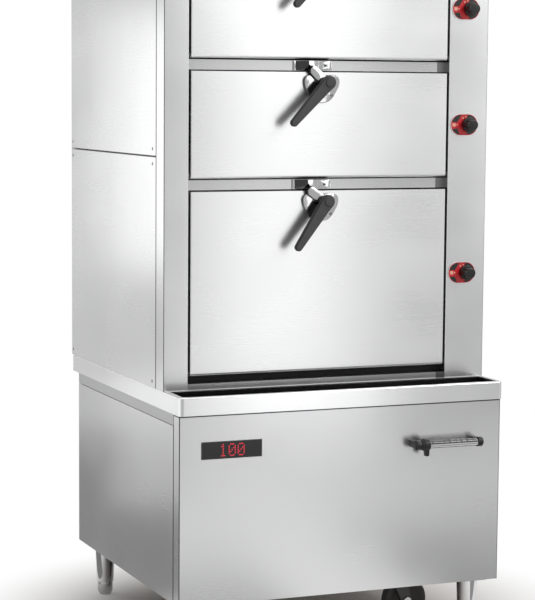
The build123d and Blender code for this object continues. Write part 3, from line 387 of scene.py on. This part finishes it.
bore, hub, recess, flank, shoulder, tyre_edge = 0.0062, 0.015, 0.040, 0.048, 0.057, 0.0620
tread_half = 0.0050
wheel_side = [(bore, 0.0150), (hub, 0.0150), (hub + 0.002, 0.0115), (recess, 0.0105),
              (flank, 0.0155), (shoulder - 0.003, 0.0160), (shoulder + 0.0025, 0.0135),
              (tyre_edge, 0.0090)]
for corner in corners:
    low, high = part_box(f"castor_wheel_{corner}")
    middle = (low + high) / 2
    axle = (0, 1, 0) if high.y - low.y < high.x - low.x else (1, 0, 0)
    tread = (high.z - low.z) / 2
    profile = wheel_side + [(tread, tread_half), (tread, -tread_half)]
    profile += [(radius, -along) for radius, along in reversed(wheel_side)]
    wheel = turned(f"wheel_{corner}", profile, middle, axle, wheel_rubber,
                   f"castor_wheel_{corner}")
    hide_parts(f"castor_wheel_{corner}")


# Display
# A dark glossy window pressed into a cut-out of the front panel. Behind it, a matrix of small red
# lamps shows a number.
window_black = Finish("window_black",
                      {"Roughness": 0.14, "Coat Weight": 0.5, "Coat Roughness": 0.05})
window_dust = window_black.noise(0.01, (1, 1, 1), 4.0)
window_black.feed("Base Color", window_black.tint(grey(0.006), grey(0.014, 0.03), window_dust))
dress(window_black, "display_unit")

lamp_red = Finish("lamp_red", {"Base Color": (0.35, 0.01, 0.02, 1), "Emission Strength": 0.75})
lamp_flicker = lamp_red.noise(0.002, (1, 1, 1), 2.0)
lamp_dim, lamp_bright = (0.55, 0.01, 0.03, 1), (0.95, 0.05, 0.09, 1)
lamp_red.feed("Emission Color", lamp_red.tint(lamp_dim, lamp_bright, lamp_flicker))
lamp_red.feed("Roughness", 0.3 + 0.2 * lamp_flicker)


def grow(tree, kind, settings, inputs):
    """Adds a node to a geometry tree. An input that is a socket is linked, others are set."""
    made = tree.nodes.new(kind)
    for name, value in settings.items():
        setattr(made, name, value)
    for name, value in inputs.items():
        if isinstance(value, bpy.types.NodeSocket):
            tree.links.new(value, made.inputs[name])
        else:
            made.inputs[name].default_value = value
    return made


def repeated_tree(name, sizes, build_item):
    """A geometry tree that puts one item at each point of a mesh, turned to face its way."""
    tree = bpy.data.node_groups.new(name, "GeometryNodeTree")
    tree.interface.new_socket("Points", in_out="INPUT", socket_type="NodeSocketGeometry")
    for size in sizes:
        tree.interface.new_socket(size, in_out="INPUT", socket_type="NodeSocketFloat")
    tree.interface.new_socket("Items", in_out="OUTPUT", socket_type="NodeSocketGeometry")
    source = tree.nodes.new("NodeGroupInput")
    item = build_item(tree, source.outputs)
    facing = grow(tree, "GeometryNodeInputNamedAttribute",
                  {"data_type": "FLOAT_VECTOR"}, {"Name": "facing"})
    turn = grow(tree, "FunctionNodeAlignRotationToVector",
                {"axis": "Z"}, {"Vector": facing.outputs[0]})
    spread = grow(tree, "GeometryNodeInstanceOnPoints", {},
                  {"Points": source.outputs["Points"], "Instance": item,
                   "Rotation": turn.outputs[0]})
    real = grow(tree, "GeometryNodeRealizeInstances", {}, {"Geometry": spread.outputs[0]})
    target = tree.nodes.new("NodeGroupOutput")
    tree.links.new(real.outputs[0], target.inputs["Items"])
    return tree


def repeated(name, tree, sizes, places, body):
    """The items of a geometry tree at the places, each (point, way it faces), as one mesh."""
    crease = 35
    points = bpy.data.meshes.new(name + "_points")
    points.from_pydata([point for point, way in places], [], [])
    ways = points.attributes.new("facing", "FLOAT_VECTOR", "POINT")
    for number, (point, way) in enumerate(places):
        ways.data[number].vector = way
    draft = bpy.data.objects.new(name + "_draft", points)
    bpy.context.collection.objects.link(draft)
    growth = draft.modifiers.new("growth", "NODES")
    growth.node_group = tree
    for socket in tree.interface.items_tree:
        if socket.name in sizes:
            growth[socket.identifier] = sizes[socket.name]
    finished = draft.evaluated_get(bpy.context.evaluated_depsgraph_get())
    mesh = bpy.data.meshes.new_from_object(finished)
    bpy.data.objects.remove(draft)
    mesh.name = name
    smooth(mesh, crease)
    piece = bpy.data.objects.new(name, mesh)
    settle(piece, body)


def lamp_dot(tree, sizes):
    """One round lamp."""
    dot = grow(tree, "GeometryNodeMeshCylinder", {},
               {"Vertices": 12, "Radius": sizes["Dot radius"], "Depth": sizes["Dot depth"]})
    lit = grow(tree, "GeometryNodeSetMaterial", {},
               {"Geometry": dot.outputs["Mesh"], "Material": lamp_red.material})
    return lit.outputs[0]


lamp_rows = {"1": ("..#..", ".##..", "..#..", "..#..", "..#..", "..#..", ".###."),
             "0": (".###.", "#...#", "#..##", "#.#.#", "##..#", "#...#", ".###.")}
lamp_inset, lamp_pitch, lamp_rise = 0.049, 0.0040, 0.0047
digit_columns, middle_row = 6, 3
window_low, window_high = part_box("display_unit")
lamp_places = []
for number, digit in enumerate("100"):
    for row, line in enumerate(lamp_rows[digit]):
        for column, mark in enumerate(line):
            if mark == "#":
                place = number * digit_columns + column
                across = window_low.x + lamp_inset + place * lamp_pitch
                height = (window_low.z + window_high.z) / 2 + (middle_row - row) * lamp_rise
                lamp_places.append(((across, window_low.y, height), (0, -1, 0)))
lamp_tree = repeated_tree("lamp_matrix", ("Dot radius", "Dot depth"), lamp_dot)
repeated("display_digits", lamp_tree, {"Dot radius": 0.0017, "Dot depth": 0.0004},
         lamp_places, "cabinet")


# Power control
# A bright tube held by two moulded end pieces that are screwed on from behind the panel, with a
# printed scale and a black ring that slides along it. Its colour holds a painted reflection:
# darker grey on the upper half, near black along the bottom, for the dark below it.
def moulded_black(name, brightness, roughness):
    """Black plastic with the fine grain of its mould, rubbed a little."""
    grain_size, grain_depth, rub_size = 0.0007, 0.00006, 0.018
    finish = Finish(name, {"Specular IOR Level": 0.45})
    grain = finish.noise(grain_size, (1, 1, 1), 2.0)
    rub = finish.noise(rub_size, (1, 1, 1), 4.0)
    finish.shade = finish.tint(grey(brightness), grey(1.5 * brightness), rub)
    finish.feed("Base Color", finish.shade)
    finish.feed("Roughness", roughness + 0.12 * (rub - 0.5))
    finish.feed("Normal", finish.bump(grain, grain_depth))
    return finish


def chrome_plate(name, brightness, roughness):
    """Chromium plate over a polished but not quite flat base, with a faint haze."""
    haze_size, swell_size, swell_depth = 0.008, 0.014, 0.0003
    finish = Finish(name, {"Metallic": 1.0})
    haze = finish.noise(haze_size, (1, 1, 1), 3.0)
    swell = finish.noise(swell_size, (1, 1, 1), 1.0)
    finish.shade = finish.tint(grey(0.92 * brightness), grey(brightness, -0.005), haze)
    finish.feed("Base Color", finish.shade)
    finish.feed("Roughness", roughness + 0.06 * (haze - 0.5))
    finish.feed("Normal", finish.bump(swell, swell_depth))
    return finish


knob_black = moulded_black("knob_black", 0.006, 0.34)
tube_chrome = chrome_plate("tube_chrome", 0.80, 0.16)
print_black = moulded_black("print_black", 0.020, 0.45)
softened("power_end_pieces", "power_mounts", knob_black, 0.0022)
softened("power_ring", "power_slider", knob_black, 0.0012)

tube_low, tube_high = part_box("power_tube")
tube_radius = (tube_high.z - tube_low.z) / 2
tube_middle = (tube_low + tube_high) / 2
strip_foot, shade_top = 0.0012, 0.0072
# Painted reflection on the tube: grey above its middle, near black along its bottom.
upper_reflection = tube_chrome.axis(2) > tube_middle.z + strip_foot
lower_reflection = tube_chrome.axis(2) < tube_middle.z - shade_top
stain(tube_chrome, upper_reflection, grey(0.13))
stain(tube_chrome, lower_reflection, grey(0.05))
dress(tube_chrome, "power_tube")

digit_strokes = {"a": (0, 1, 1, 1), "b": (1, 0.5, 1, 1), "c": (1, 0, 1, 0.5), "d": (0, 0, 1, 0),
                 "e": (0, 0, 0, 0.5), "f": (0, 0.5, 0, 1), "g": (0, 0.5, 1, 0.5)}
digit_parts = {"0": "abcdef", "1": "bc", "2": "abged", "3": "abgcd",
               "4": "fgbc", "5": "afgcd", "6": "afgedc", "7": "abc"}


def digit_bars(digit, left, bottom, width, height, stroke):
    """The strokes of a digit as upright and level bars: (left, right, bottom, top)."""
    bars = []
    for part in digit_parts[digit]:
        x0, z0, x1, z1 = digit_strokes[part]
        half = stroke / 2
        bars.append((left + x0 * width - half, left + x1 * width + half,
                     bottom + z0 * height - half, bottom + z1 * height + half))
    return bars


def round_tube(across, up, lift):
    """A place on the tube: across, up round its front, and a height above its surface."""
    angle = up / tube_radius
    reach = tube_radius + lift
    return Vector((across, tube_middle.y - reach * cos(angle),
                   tube_middle.z + reach * sin(angle)))


def thin_bars(name, bars, wrap, finish, body):
    """Printed bars as thin closed slabs, laid on a surface by the wrap."""
    under, over = -0.0001, 0.00012
    shape = bmesh.new()
    for left, right, bottom, top in bars:
        points = {(across, up, lift): shape.verts.new(wrap(across, up, lift))
                  for across in (left, right) for up in (bottom, top) for lift in (under, over)}
        for fixed, sides in ((0, (left, right)), (1, (bottom, top)), (2, (under, over))):
            for side in sides:
                ring = [place for place in points if place[fixed] == side]
                ring = [ring[0], ring[1], ring[3], ring[2]]
                shape.faces.new([points[place] for place in ring])
    bmesh.ops.recalc_face_normals(shape, faces=shape.faces)
    mesh = bpy.data.meshes.new(name)
    shape.to_mesh(mesh)
    shape.free()
    mesh.materials.append(finish.material)
    settle(bpy.data.objects.new(name, mesh), body)


scale_inset, scale_pitch, scale_marks = 0.040, 0.0165, 8
mark_half, between_half = 0.0007, 0.0005
mark_foot, mark_top, between_top = 0.0012, 0.0042, 0.0030
digit_foot, digit_width, digit_height, digit_stroke = 0.0062, 0.0032, 0.0058, 0.0011
scale_bars = []
for number in range(scale_marks):
    mark = tube_low.x + scale_inset + number * scale_pitch
    between = mark + scale_pitch / 2
    scale_bars.append((mark - mark_half, mark + mark_half, mark_foot, mark_top))
    scale_bars.append((between - between_half, between + between_half, mark_foot, between_top))
    scale_bars += digit_bars(str(number), mark - digit_width / 2, digit_foot,
                             digit_width, digit_height, digit_stroke)
thin_bars("power_scale", scale_bars, round_tube, print_black, "cabinet")


# Upper cabinet
# Stiles on each side of the doors, recessed bars between them, and side, back and top panels, all
# folded from sheet. The side panels come in two heights, each held by screws near its corners.
stile_steel = satin_sheet("stile_steel", 0.82, 0.25, 0.4, 0.17)
stile_low, stile_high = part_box("stiles")
stile_line, stile_fold = 0.0016, 0.0024
at_stile_left = stile_steel.axis(0) < stile_low.x + stile_line
at_stile_right = stile_steel.axis(0) > stile_high.x - stile_line
at_stile_front = stile_steel.axis(1) < stile_low.y + stile_fold
# Painted shade: dark lines down the stiles' edges at their front fold, where the gaps are.
stain(stile_steel, (at_stile_left + at_stile_right) * at_stile_front, grey(0.22))
dress(stile_steel, "stiles")

side_steel = satin_sheet("side_steel", 0.84, 0.27, 0.4, 0.19)
panel_low, panel_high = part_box("upper_side_panels")
panel_seam, seam_half, edge_line = 1.263, 0.0024, 0.005
at_front_edge = side_steel.axis(1) < panel_low.y + edge_line
above_seam_foot = side_steel.axis(2) > panel_seam - seam_half
below_seam_top = side_steel.axis(2) < panel_seam + seam_half
# Painted shade: dark lines along the panels' front edges and in the seam between the two heights.
stain(side_steel, at_front_edge, grey(0.10))
stain(side_steel, above_seam_foot * below_seam_top, grey(0.10))
dress(side_steel, "upper_side_panels")

bar_steel = satin_sheet("bar_steel", 0.58, 0.28, 0.0, 0.14)
bar_shadow = 0.020
bar_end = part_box("door_upper")[1].x - bar_shadow
stain(bar_steel, bar_steel.axis(0) > bar_end, grey(0.20))
dress(bar_steel, "cross_bars")
dress(back_steel, "back_panel", "top_panel")

screw_steel = polished("screw_steel", grey(0.30), 0.30)
cross_shade = moulded_black("cross_shade", 0.006, 0.5)


def screw_head(tree, sizes):
    """A low domed head, with a thin black cross on it as painted shade for its cross recess."""
    top_share, cross_share, cross_depth = 0.72, 0.24, 0.0001
    radius, rise = sizes["Head radius"], sizes["Head rise"]
    head = grow(tree, "GeometryNodeMeshCone", {},
                {"Vertices": 20, "Radius Bottom": radius, "Depth": rise})
    narrow = grow(tree, "ShaderNodeMath", {"operation": "MULTIPLY"}, {0: radius, 1: top_share})
    tree.links.new(narrow.outputs[0], head.inputs["Radius Top"])
    dull = grow(tree, "GeometryNodeSetMaterial", {},
                {"Geometry": head.outputs["Mesh"], "Material": screw_steel.material})
    joined = tree.nodes.new("GeometryNodeJoinGeometry")
    tree.links.new(dull.outputs[0], joined.inputs[0])
    for wide, deep in ((1.0, cross_share), (cross_share, 1.0)):
        size = tree.nodes.new("ShaderNodeCombineXYZ")
        for number, share in ((0, wide), (1, deep)):
            part = grow(tree, "ShaderNodeMath", {"operation": "MULTIPLY"}, {0: radius, 1: share})
            tree.links.new(part.outputs[0], size.inputs[number])
        size.inputs[2].default_value = cross_depth
        bar = grow(tree, "GeometryNodeMeshCube", {}, {"Size": size.outputs[0]})
        up = tree.nodes.new("ShaderNodeCombineXYZ")
        tree.links.new(rise, up.inputs[2])
        lifted = grow(tree, "GeometryNodeTransform", {},
                      {"Geometry": bar.outputs["Mesh"], "Translation": up.outputs[0]})
        black = grow(tree, "GeometryNodeSetMaterial", {},
                     {"Geometry": lifted.outputs[0], "Material": cross_shade.material})
        tree.links.new(black.outputs[0], joined.inputs[0])
    return joined.outputs[0]


end_inset, seam_inset, front_inset, rear_inset = 0.016, 0.019, 0.029, 0.013
screw_rows = (panel_low.z + end_inset, panel_seam - seam_inset,
              panel_seam + seam_inset, panel_high.z - end_inset)
screw_columns = (panel_low.y + front_inset, panel_high.y - rear_inset)
panel_sides = ((panel_low.x, (-1, 0, 0)), (panel_high.x, (1, 0, 0)))
screw_places = [((side, column, row), way) for side, way in panel_sides
                for column in screw_columns for row in screw_rows]
screw_tree = repeated_tree("panel_screws", ("Head radius", "Head rise"), screw_head)
repeated("side_panel_screws", screw_tree, {"Head radius": 0.0046, "Head rise": 0.0007},
         screw_places, "cabinet")


# Steam chambers
# Three chambers folded from sheet, each with a slotted shelf on ledges, and a black silicone seal
# round its mouth. Steam leaves the inside duller than the casing.
bays = ("lower", "middle", "upper")
chamber_steel = satin_sheet("chamber_steel", 0.58, 0.36, 0.0, 0.13)
dress(chamber_steel, "shelf_plates", *[f"chamber_liner_{bay}" for bay in bays])
seal_rubber = Finish("seal_rubber", {"Specular IOR Level": 0.3})
seal_bloom = seal_rubber.noise(0.02, (1, 1, 1), 3.0)
seal_rubber.feed("Base Color", seal_rubber.tint(grey(0.006), grey(0.014), seal_bloom))
seal_rubber.feed("Roughness", 0.6 + 0.2 * (seal_bloom - 0.5))
dress(seal_rubber, "door_gaskets")


# Doors
# Three insulated leaves, folded from brighter satin sheet, which drop down about their lower edge
# on pivot pins that are lacquered black.
door_steel = satin_sheet("door_steel", 0.86, 0.28, 0.35, 0.18)
dress(door_steel, *[f"door_{bay}" for bay in bays])
dress(fork_lacquer, "hinge_pivots")


# Latches
# A chromed shield is screwed to each door, and a chromed tongue turns in front of it, with a
# cranked lever of grained black plastic on the same spindle. The keepers are screwed to the bars.
edge_facing, keeper_edge_facing = -0.93, -0.95
latch_chrome = chrome_plate("latch_chrome", 0.84, 0.10)
# Painted reflection: the chrome turns dark where its edges face away from the front.
stain(latch_chrome, latch_chrome.facing(1) > edge_facing, grey(0.10))
lever_black = moulded_black("lever_black", 0.036, 0.45)
# Painted shade: the lever's edges, turned away from the front, darker than its face.
stain(lever_black, lever_black.facing(1) > edge_facing, grey(0.006))
keeper_chrome = chrome_plate("keeper_chrome", 0.84, 0.10)
# Painted reflection: the keepers' chrome turns dark where its edges face away from the front.
stain(keeper_chrome, keeper_chrome.facing(1) > keeper_edge_facing, grey(0.10))
for bay in bays:
    softened(f"shield_{bay}", f"latch_shield_{bay}", latch_chrome, 0.0032, 4)
    softened(f"tongue_{bay}", f"latch_tongue_{bay}", latch_chrome, 0.0008)
    softened(f"lever_{bay}", f"latch_lever_{bay}", lever_black, 0.0012)
softened("keeper_plates", "keepers", keeper_chrome, 0.0008)

keeper_low, keeper_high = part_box("keepers")
half_keeper, keeper_screw_inset, keeper_recess = 0.012, 0.018, 0.0043
middle_bar = (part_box("door_middle")[1].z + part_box("door_upper")[0].z) / 2
keeper_heights = (keeper_low.z + half_keeper, middle_bar, keeper_high.z - half_keeper)
keeper_screws = [((keeper_high.x - keeper_screw_inset, keeper_low.y + keeper_recess, height),
                  (0, -1, 0)) for height in keeper_heights]
repeated("keeper_screws", screw_tree, {"Head radius": 0.0033, "Head rise": 0.0006},
         keeper_screws, "cabinet")

shield_screw_inset, shield_screw_rise = 0.021, 0.019
for bay in bays:
    low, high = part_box(f"latch_shield_{bay}")
    screw_point = (high.x - shield_screw_inset, low.y, low.z + shield_screw_rise)
    repeated(f"shield_screw_{bay}", screw_tree, {"Head radius": 0.0048, "Head rise": 0.001},
             [(screw_point, (0, -1, 0))], f"door_{bay}")


# Steam knobs and their labels
# Moulded knobs, pressed on the valve stems. A plate with round ends lies behind each and runs out
# to the left, printed red and black inside a pale edge, with plain marks for off and for steam.
label_edge = chrome_plate("label_edge", 0.72, 0.35)
dress(label_edge, "label_plates")


def print_finish(name, dark, light, roughness):
    """Printing ink under a clear coat, a little uneven."""
    patch_size = 0.006
    finish = Finish(name, {"Coat Weight": 0.25, "Coat Roughness": 0.15})
    patch = finish.noise(patch_size, (1, 1, 1), 3.0)
    finish.feed("Base Color", finish.tint(dark, light, patch))
    finish.feed("Roughness", roughness + 0.1 * (patch - 0.5))
    return finish


label_red = print_finish("label_red", (0.46, 0.004, 0.012, 1), (0.62, 0.012, 0.02, 1), 0.35)
label_black = print_finish("label_black", (0.004, 0.008, 0.007, 1), (0.010, 0.016, 0.014, 1), 0.3)
label_pale = print_finish("label_pale", (0.75, 0.30, 0.24, 1), (0.90, 0.55, 0.40, 1), 0.4)

label_low, label_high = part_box("label_plates")
knob_places = [(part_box(f"knob_{bay}")[0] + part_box(f"knob_{bay}")[1]) / 2 for bay in bays]
label_radius = 0.0285
label_straight = label_high.x - label_low.x - 2 * label_radius


def arc(centre, radius, start, end, steps=14, up=0.0):
    """Points on an arc, (across, up) from the knob's middle, between two angles in degrees."""
    angles = [radians(start + (end - start) * step / steps) for step in range(steps + 1)]
    return [(centre + radius * cos(angle), up + radius * sin(angle)) for angle in angles]


def printed(name, outlines, lift, finish):
    """Flat prints on every label, as thin closed slabs given by outlines about the knob."""
    thickness = 0.0001
    shape = bmesh.new()
    for knob_place in knob_places:
        for outline in outlines:
            front, rear = [[shape.verts.new((label_high.x - label_radius + across,
                                             label_low.y - out, knob_place.z + up))
                            for across, up in outline] for out in (lift, lift - thickness)]
            shape.faces.new(front)
            shape.faces.new(rear)
            for number in range(len(outline)):
                after = (number + 1) % len(outline)
                shape.faces.new((front[number], front[after], rear[after], rear[number]))
    bmesh.ops.recalc_face_normals(shape, faces=shape.faces)
    mesh = bpy.data.meshes.new(name)
    shape.to_mesh(mesh)
    shape.free()
    mesh.materials.append(finish.material)
    settle(bpy.data.objects.new(name, mesh), "cabinet")


red_radius, patch_radius, ring_radius = label_radius - 0.0013, label_radius - 0.0030, 0.0165
red_field = arc(0, red_radius, -90, 90, 24) + arc(-label_straight, red_radius, 90, 270, 24)
printed("label_fields", [red_field], 0.0001, label_red)
upper_left = ([(-0.0200, patch_radius)] + arc(-label_straight, patch_radius, 90, 164)
              + [(-0.0325, 0.0068)])
lower_left = arc(-label_straight, patch_radius, 205, 266) + [(-0.0325, -0.0090)]
upper_right = arc(0, patch_radius, 22, 97) + arc(0, ring_radius, 97, 22)
lower_right = arc(0, patch_radius, -100, -24) + arc(0, ring_radius, -24, -100)
printed("label_patches", [upper_left, lower_left, upper_right, lower_right], 0.0002, label_black)
off_left, off_right, off_half, full_turn, dot_steps = -0.0462, -0.0372, 0.0042, 345, 11
off_mark = [(off_left, -off_half), (off_right, -off_half), (off_right, off_half),
            (off_left, off_half)]
round_marks = [arc(across, radius, 0, full_turn, dot_steps, up) for across, radius, up in
               ((-0.0330, 0.0020, 0.0), (-0.0160, 0.0022, 0.0175), (-0.0080, 0.0018, 0.0205))]
printed("label_marks", [off_mark] + round_marks, 0.0003, label_pale)
for bay in bays:
    softened(f"steam_knob_{bay}", f"knob_{bay}", knob_black, 0.001)


# Boiler and steam pipe
# A welded tank in the base with a float for its level, heated by a copper coil below it, and a pipe
# that rises behind the right stile to each chamber. The water inlet and drain lever are brass.
tank_steel = satin_sheet("tank_steel", 0.56, 0.38, 0.0, 0.11)
dress(tank_steel, "boiler_tank", "float_arm", "steam_pipe", "drain_valve")
coil_copper = polished("coil_copper", (0.72, 0.40, 0.26, 1), 0.35)
dress(coil_copper, "induction_coil")
fitting_brass = polished("fitting_brass", (0.78, 0.60, 0.33, 1), 0.26)
dress(fitting_brass, "water_inlet", "drain_lever")


# Power unit and cable gland
# A grey lacquered sheet housing on the base's floor with a moulded fan behind the louvres, and a
# black gland for the supply cable, screwed into the back panel.
housing_grey = lacquer("housing_grey", 0.26, 0.45)
dress(housing_grey, "power_unit")
dress(knob_black, "cable_gland", "fan_rotor")


# Camera
# A long lens to the front left, a little above the middle and looking slightly down. Its place
# and turn were solved from the cabinet's edges in the photograph, whose frame is 535 by 600.
picture_height = 600
focal_pixels = 2051.8
camera_turn, camera_tilt, camera_roll = 0.3898, -0.1023, 0.0076
camera_place = Vector((-2.1434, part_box("worktop")[0].y - 4.6863, 1.4325))
sight = Vector((sin(camera_turn) * cos(camera_tilt),
                cos(camera_turn) * cos(camera_tilt), sin(camera_tilt)))
level_right = Vector((cos(camera_turn), -sin(camera_turn), 0))
level_up = level_right.cross(sight)
right = cos(camera_roll) * level_right + sin(camera_roll) * level_up
camera = bpy.data.objects.new("camera", bpy.data.cameras.new("camera"))
camera.data.sensor_width = 36
camera.data.lens = focal_pixels / picture_height * camera.data.sensor_width
camera.data.clip_end = 100
camera.matrix_world = Matrix((right, right.cross(sight), -sight)).transposed().to_4x4()
camera.location = camera_place
bpy.context.collection.objects.link(camera)
bpy.context.scene.camera = camera
bpy.context.scene.view_settings.view_transform = "Standard"


# Studio
# A pale floor that turns white away from the cabinet, in a white room, with soft lamps and cards.
# Grey screens, which only the steel mirrors, give its faces their shading.
floor_reach = 30
ground = bpy.data.meshes.new("floor")
ground.from_pydata([(-floor_reach, -floor_reach, 0), (floor_reach, -floor_reach, 0),
                    (floor_reach, floor_reach, 0), (-floor_reach, floor_reach, 0)],
                   [], [(0, 1, 2, 3)])
floor = bpy.data.objects.new("floor", ground)
bpy.context.collection.objects.link(floor)
pale_floor = Finish("pale_floor", {"Base Color": (0.56, 0.53, 0.50, 1), "Roughness": 0.9})
camera_ray, glossy_ray, clear_ray = [
    pale_floor.node("ShaderNodeLightPath", {}, {}, ray)
    for ray in ("Is Camera Ray", "Is Glossy Ray", "Is Transmission Ray")]
seen = camera_ray + glossy_ray + clear_ray
reach = pale_floor.node("ShaderNodeVectorMath", {"operation": "LENGTH"},
                        {0: pale_floor.place()}, "Value")
fade = pale_floor.node("ShaderNodeMapRange", {"interpolation_type": "SMOOTHSTEP"},
                       {"Value": reach, "From Min": 0.38, "From Max": 0.92})
white = pale_floor.node("ShaderNodeEmission", {}, {"Color": (1, 1, 1, 1), "Strength": 1.0})
blend = pale_floor.node("ShaderNodeMixShader", {}, {0: fade * seen, 2: white})
pale_floor.tree.links.new(pale_floor.surface.outputs[0], blend.socket.node.inputs[1])
pale_floor.tree.links.new(blend.socket,
                          pale_floor.tree.nodes["Material Output"].inputs["Surface"])
ground.materials.append(pale_floor.material)

room = bpy.data.worlds.new("room")
room.use_nodes = True
bpy.context.scene.world = room
room_tree = room.node_tree
room_white = room_tree.nodes["Background"]
rays = room_tree.nodes.new("ShaderNodeLightPath")
strength = room_tree.nodes.new("ShaderNodeMapRange")
strength.inputs["To Min"].default_value = 1.0
strength.inputs["To Max"].default_value = 0.55
room_tree.links.new(rays.outputs["Is Diffuse Ray"], strength.inputs["Value"])
room_tree.links.new(strength.outputs[0], room_white.inputs["Strength"])
room_white.inputs["Color"].default_value = (1, 1, 1, 1)


def upright(start, end, top):
    """The corners of a standing screen, from its two feet and its height."""
    return [(*start, 0), (*end, 0), (*end, top), (*start, top)]


def lying(left, right, front, rear, height=0.002):
    """The corners of a screen that lies just above the floor."""
    return [(left, front, height), (right, front, height),
            (right, rear, height), (left, rear, height)]


def screen(name, corners, brightness):
    """A flat grey screen, which shows in the steel and nowhere else."""
    mesh = bpy.data.meshes.new(name)
    mesh.from_pydata(corners, [], [(0, 1, 2, 3)])
    paint = Finish(name, {"Base Color": (0, 0, 0, 1), "Specular IOR Level": 0.0,
                          "Emission Color": grey(brightness), "Emission Strength": 1.0})
    mesh.materials.append(paint.material)
    panel = bpy.data.objects.new(name, mesh)
    panel.visible_camera = False
    panel.visible_diffuse = False
    panel.visible_transmission = False
    panel.visible_shadow = False
    bpy.context.collection.objects.link(panel)


screen("front_screen", upright((-5, -2.6), (6, -2.6), 3.4), 0.45)
screen("side_screen", upright((-5, 3.5), (-0.6, 3.5), 3.4), 0.60)
screen("rear_screen", upright((-0.6, 3.6), (3.2, 3.6), 2.4), 0.50)
screen("right_screen", upright((3.3, -1.5), (3.3, 3.5), 1.9), 0.50)
screen("floor_screen", lying(-2.4, -0.55, 0.2, 3.2), 0.25)
screen("left_floor_screen", lying(-0.75, 0.05, -1.25, -0.6), 0.45)
screen("right_floor_screen", lying(0.45, 2.8, -1.7, -0.6), 0.36)


def soft_lamp(name, place, aim, size, radiance):
    """A flat soft lamp, given by how bright its face looks, where 1 is white."""
    lamp = bpy.data.objects.new(name, bpy.data.lights.new(name, "AREA"))
    lamp.data.shape = "RECTANGLE"
    lamp.data.size, lamp.data.size_y = size
    lamp.data.energy = radiance * pi * size[0] * size[1]
    lamp.location = place
    lamp.rotation_euler = (Vector(aim) - Vector(place)).to_track_quat("-Z", "Y").to_euler()
    lamp.visible_camera = False
    bpy.context.collection.objects.link(lamp)


soft_lamp("front_strip_low", (0.77, -2.5, 0.85), (-0.14, -0.3, 0.85), (0.54, 1.0), 0.90)
soft_lamp("front_strip_high", (0.73, -2.5, 1.95), (-0.16, -0.3, 1.65), (0.66, 1.2), 1.15)
soft_lamp("rim_strip", (0.60, -2.5, 0.30), (-0.15, -0.43, 0.60), (0.84, 0.11), 1.3)
soft_lamp("right_strip", (2.02, -2.4, 1.55), (0.45, -0.3, 1.30), (0.56, 1.6), 1.2)
soft_lamp("left_card", (-1.30, 1.6, 1.25), (-0.45, 0.0, 1.15), (0.6, 0.9), 0.86)
soft_lamp("side_card", (-0.98, 0.88, 0.33), (-0.45, -0.35, 0.42), (0.5, 0.42), 0.34)
soft_lamp("key", (3.4, -3.6, 4.2), (0, 0, 0.6), (2.2, 2.2), 9.0)
soft_lamp("top", (0.2, 0.2, 5.0), (0, 0, 0), (3.0, 3.0), 0.8)
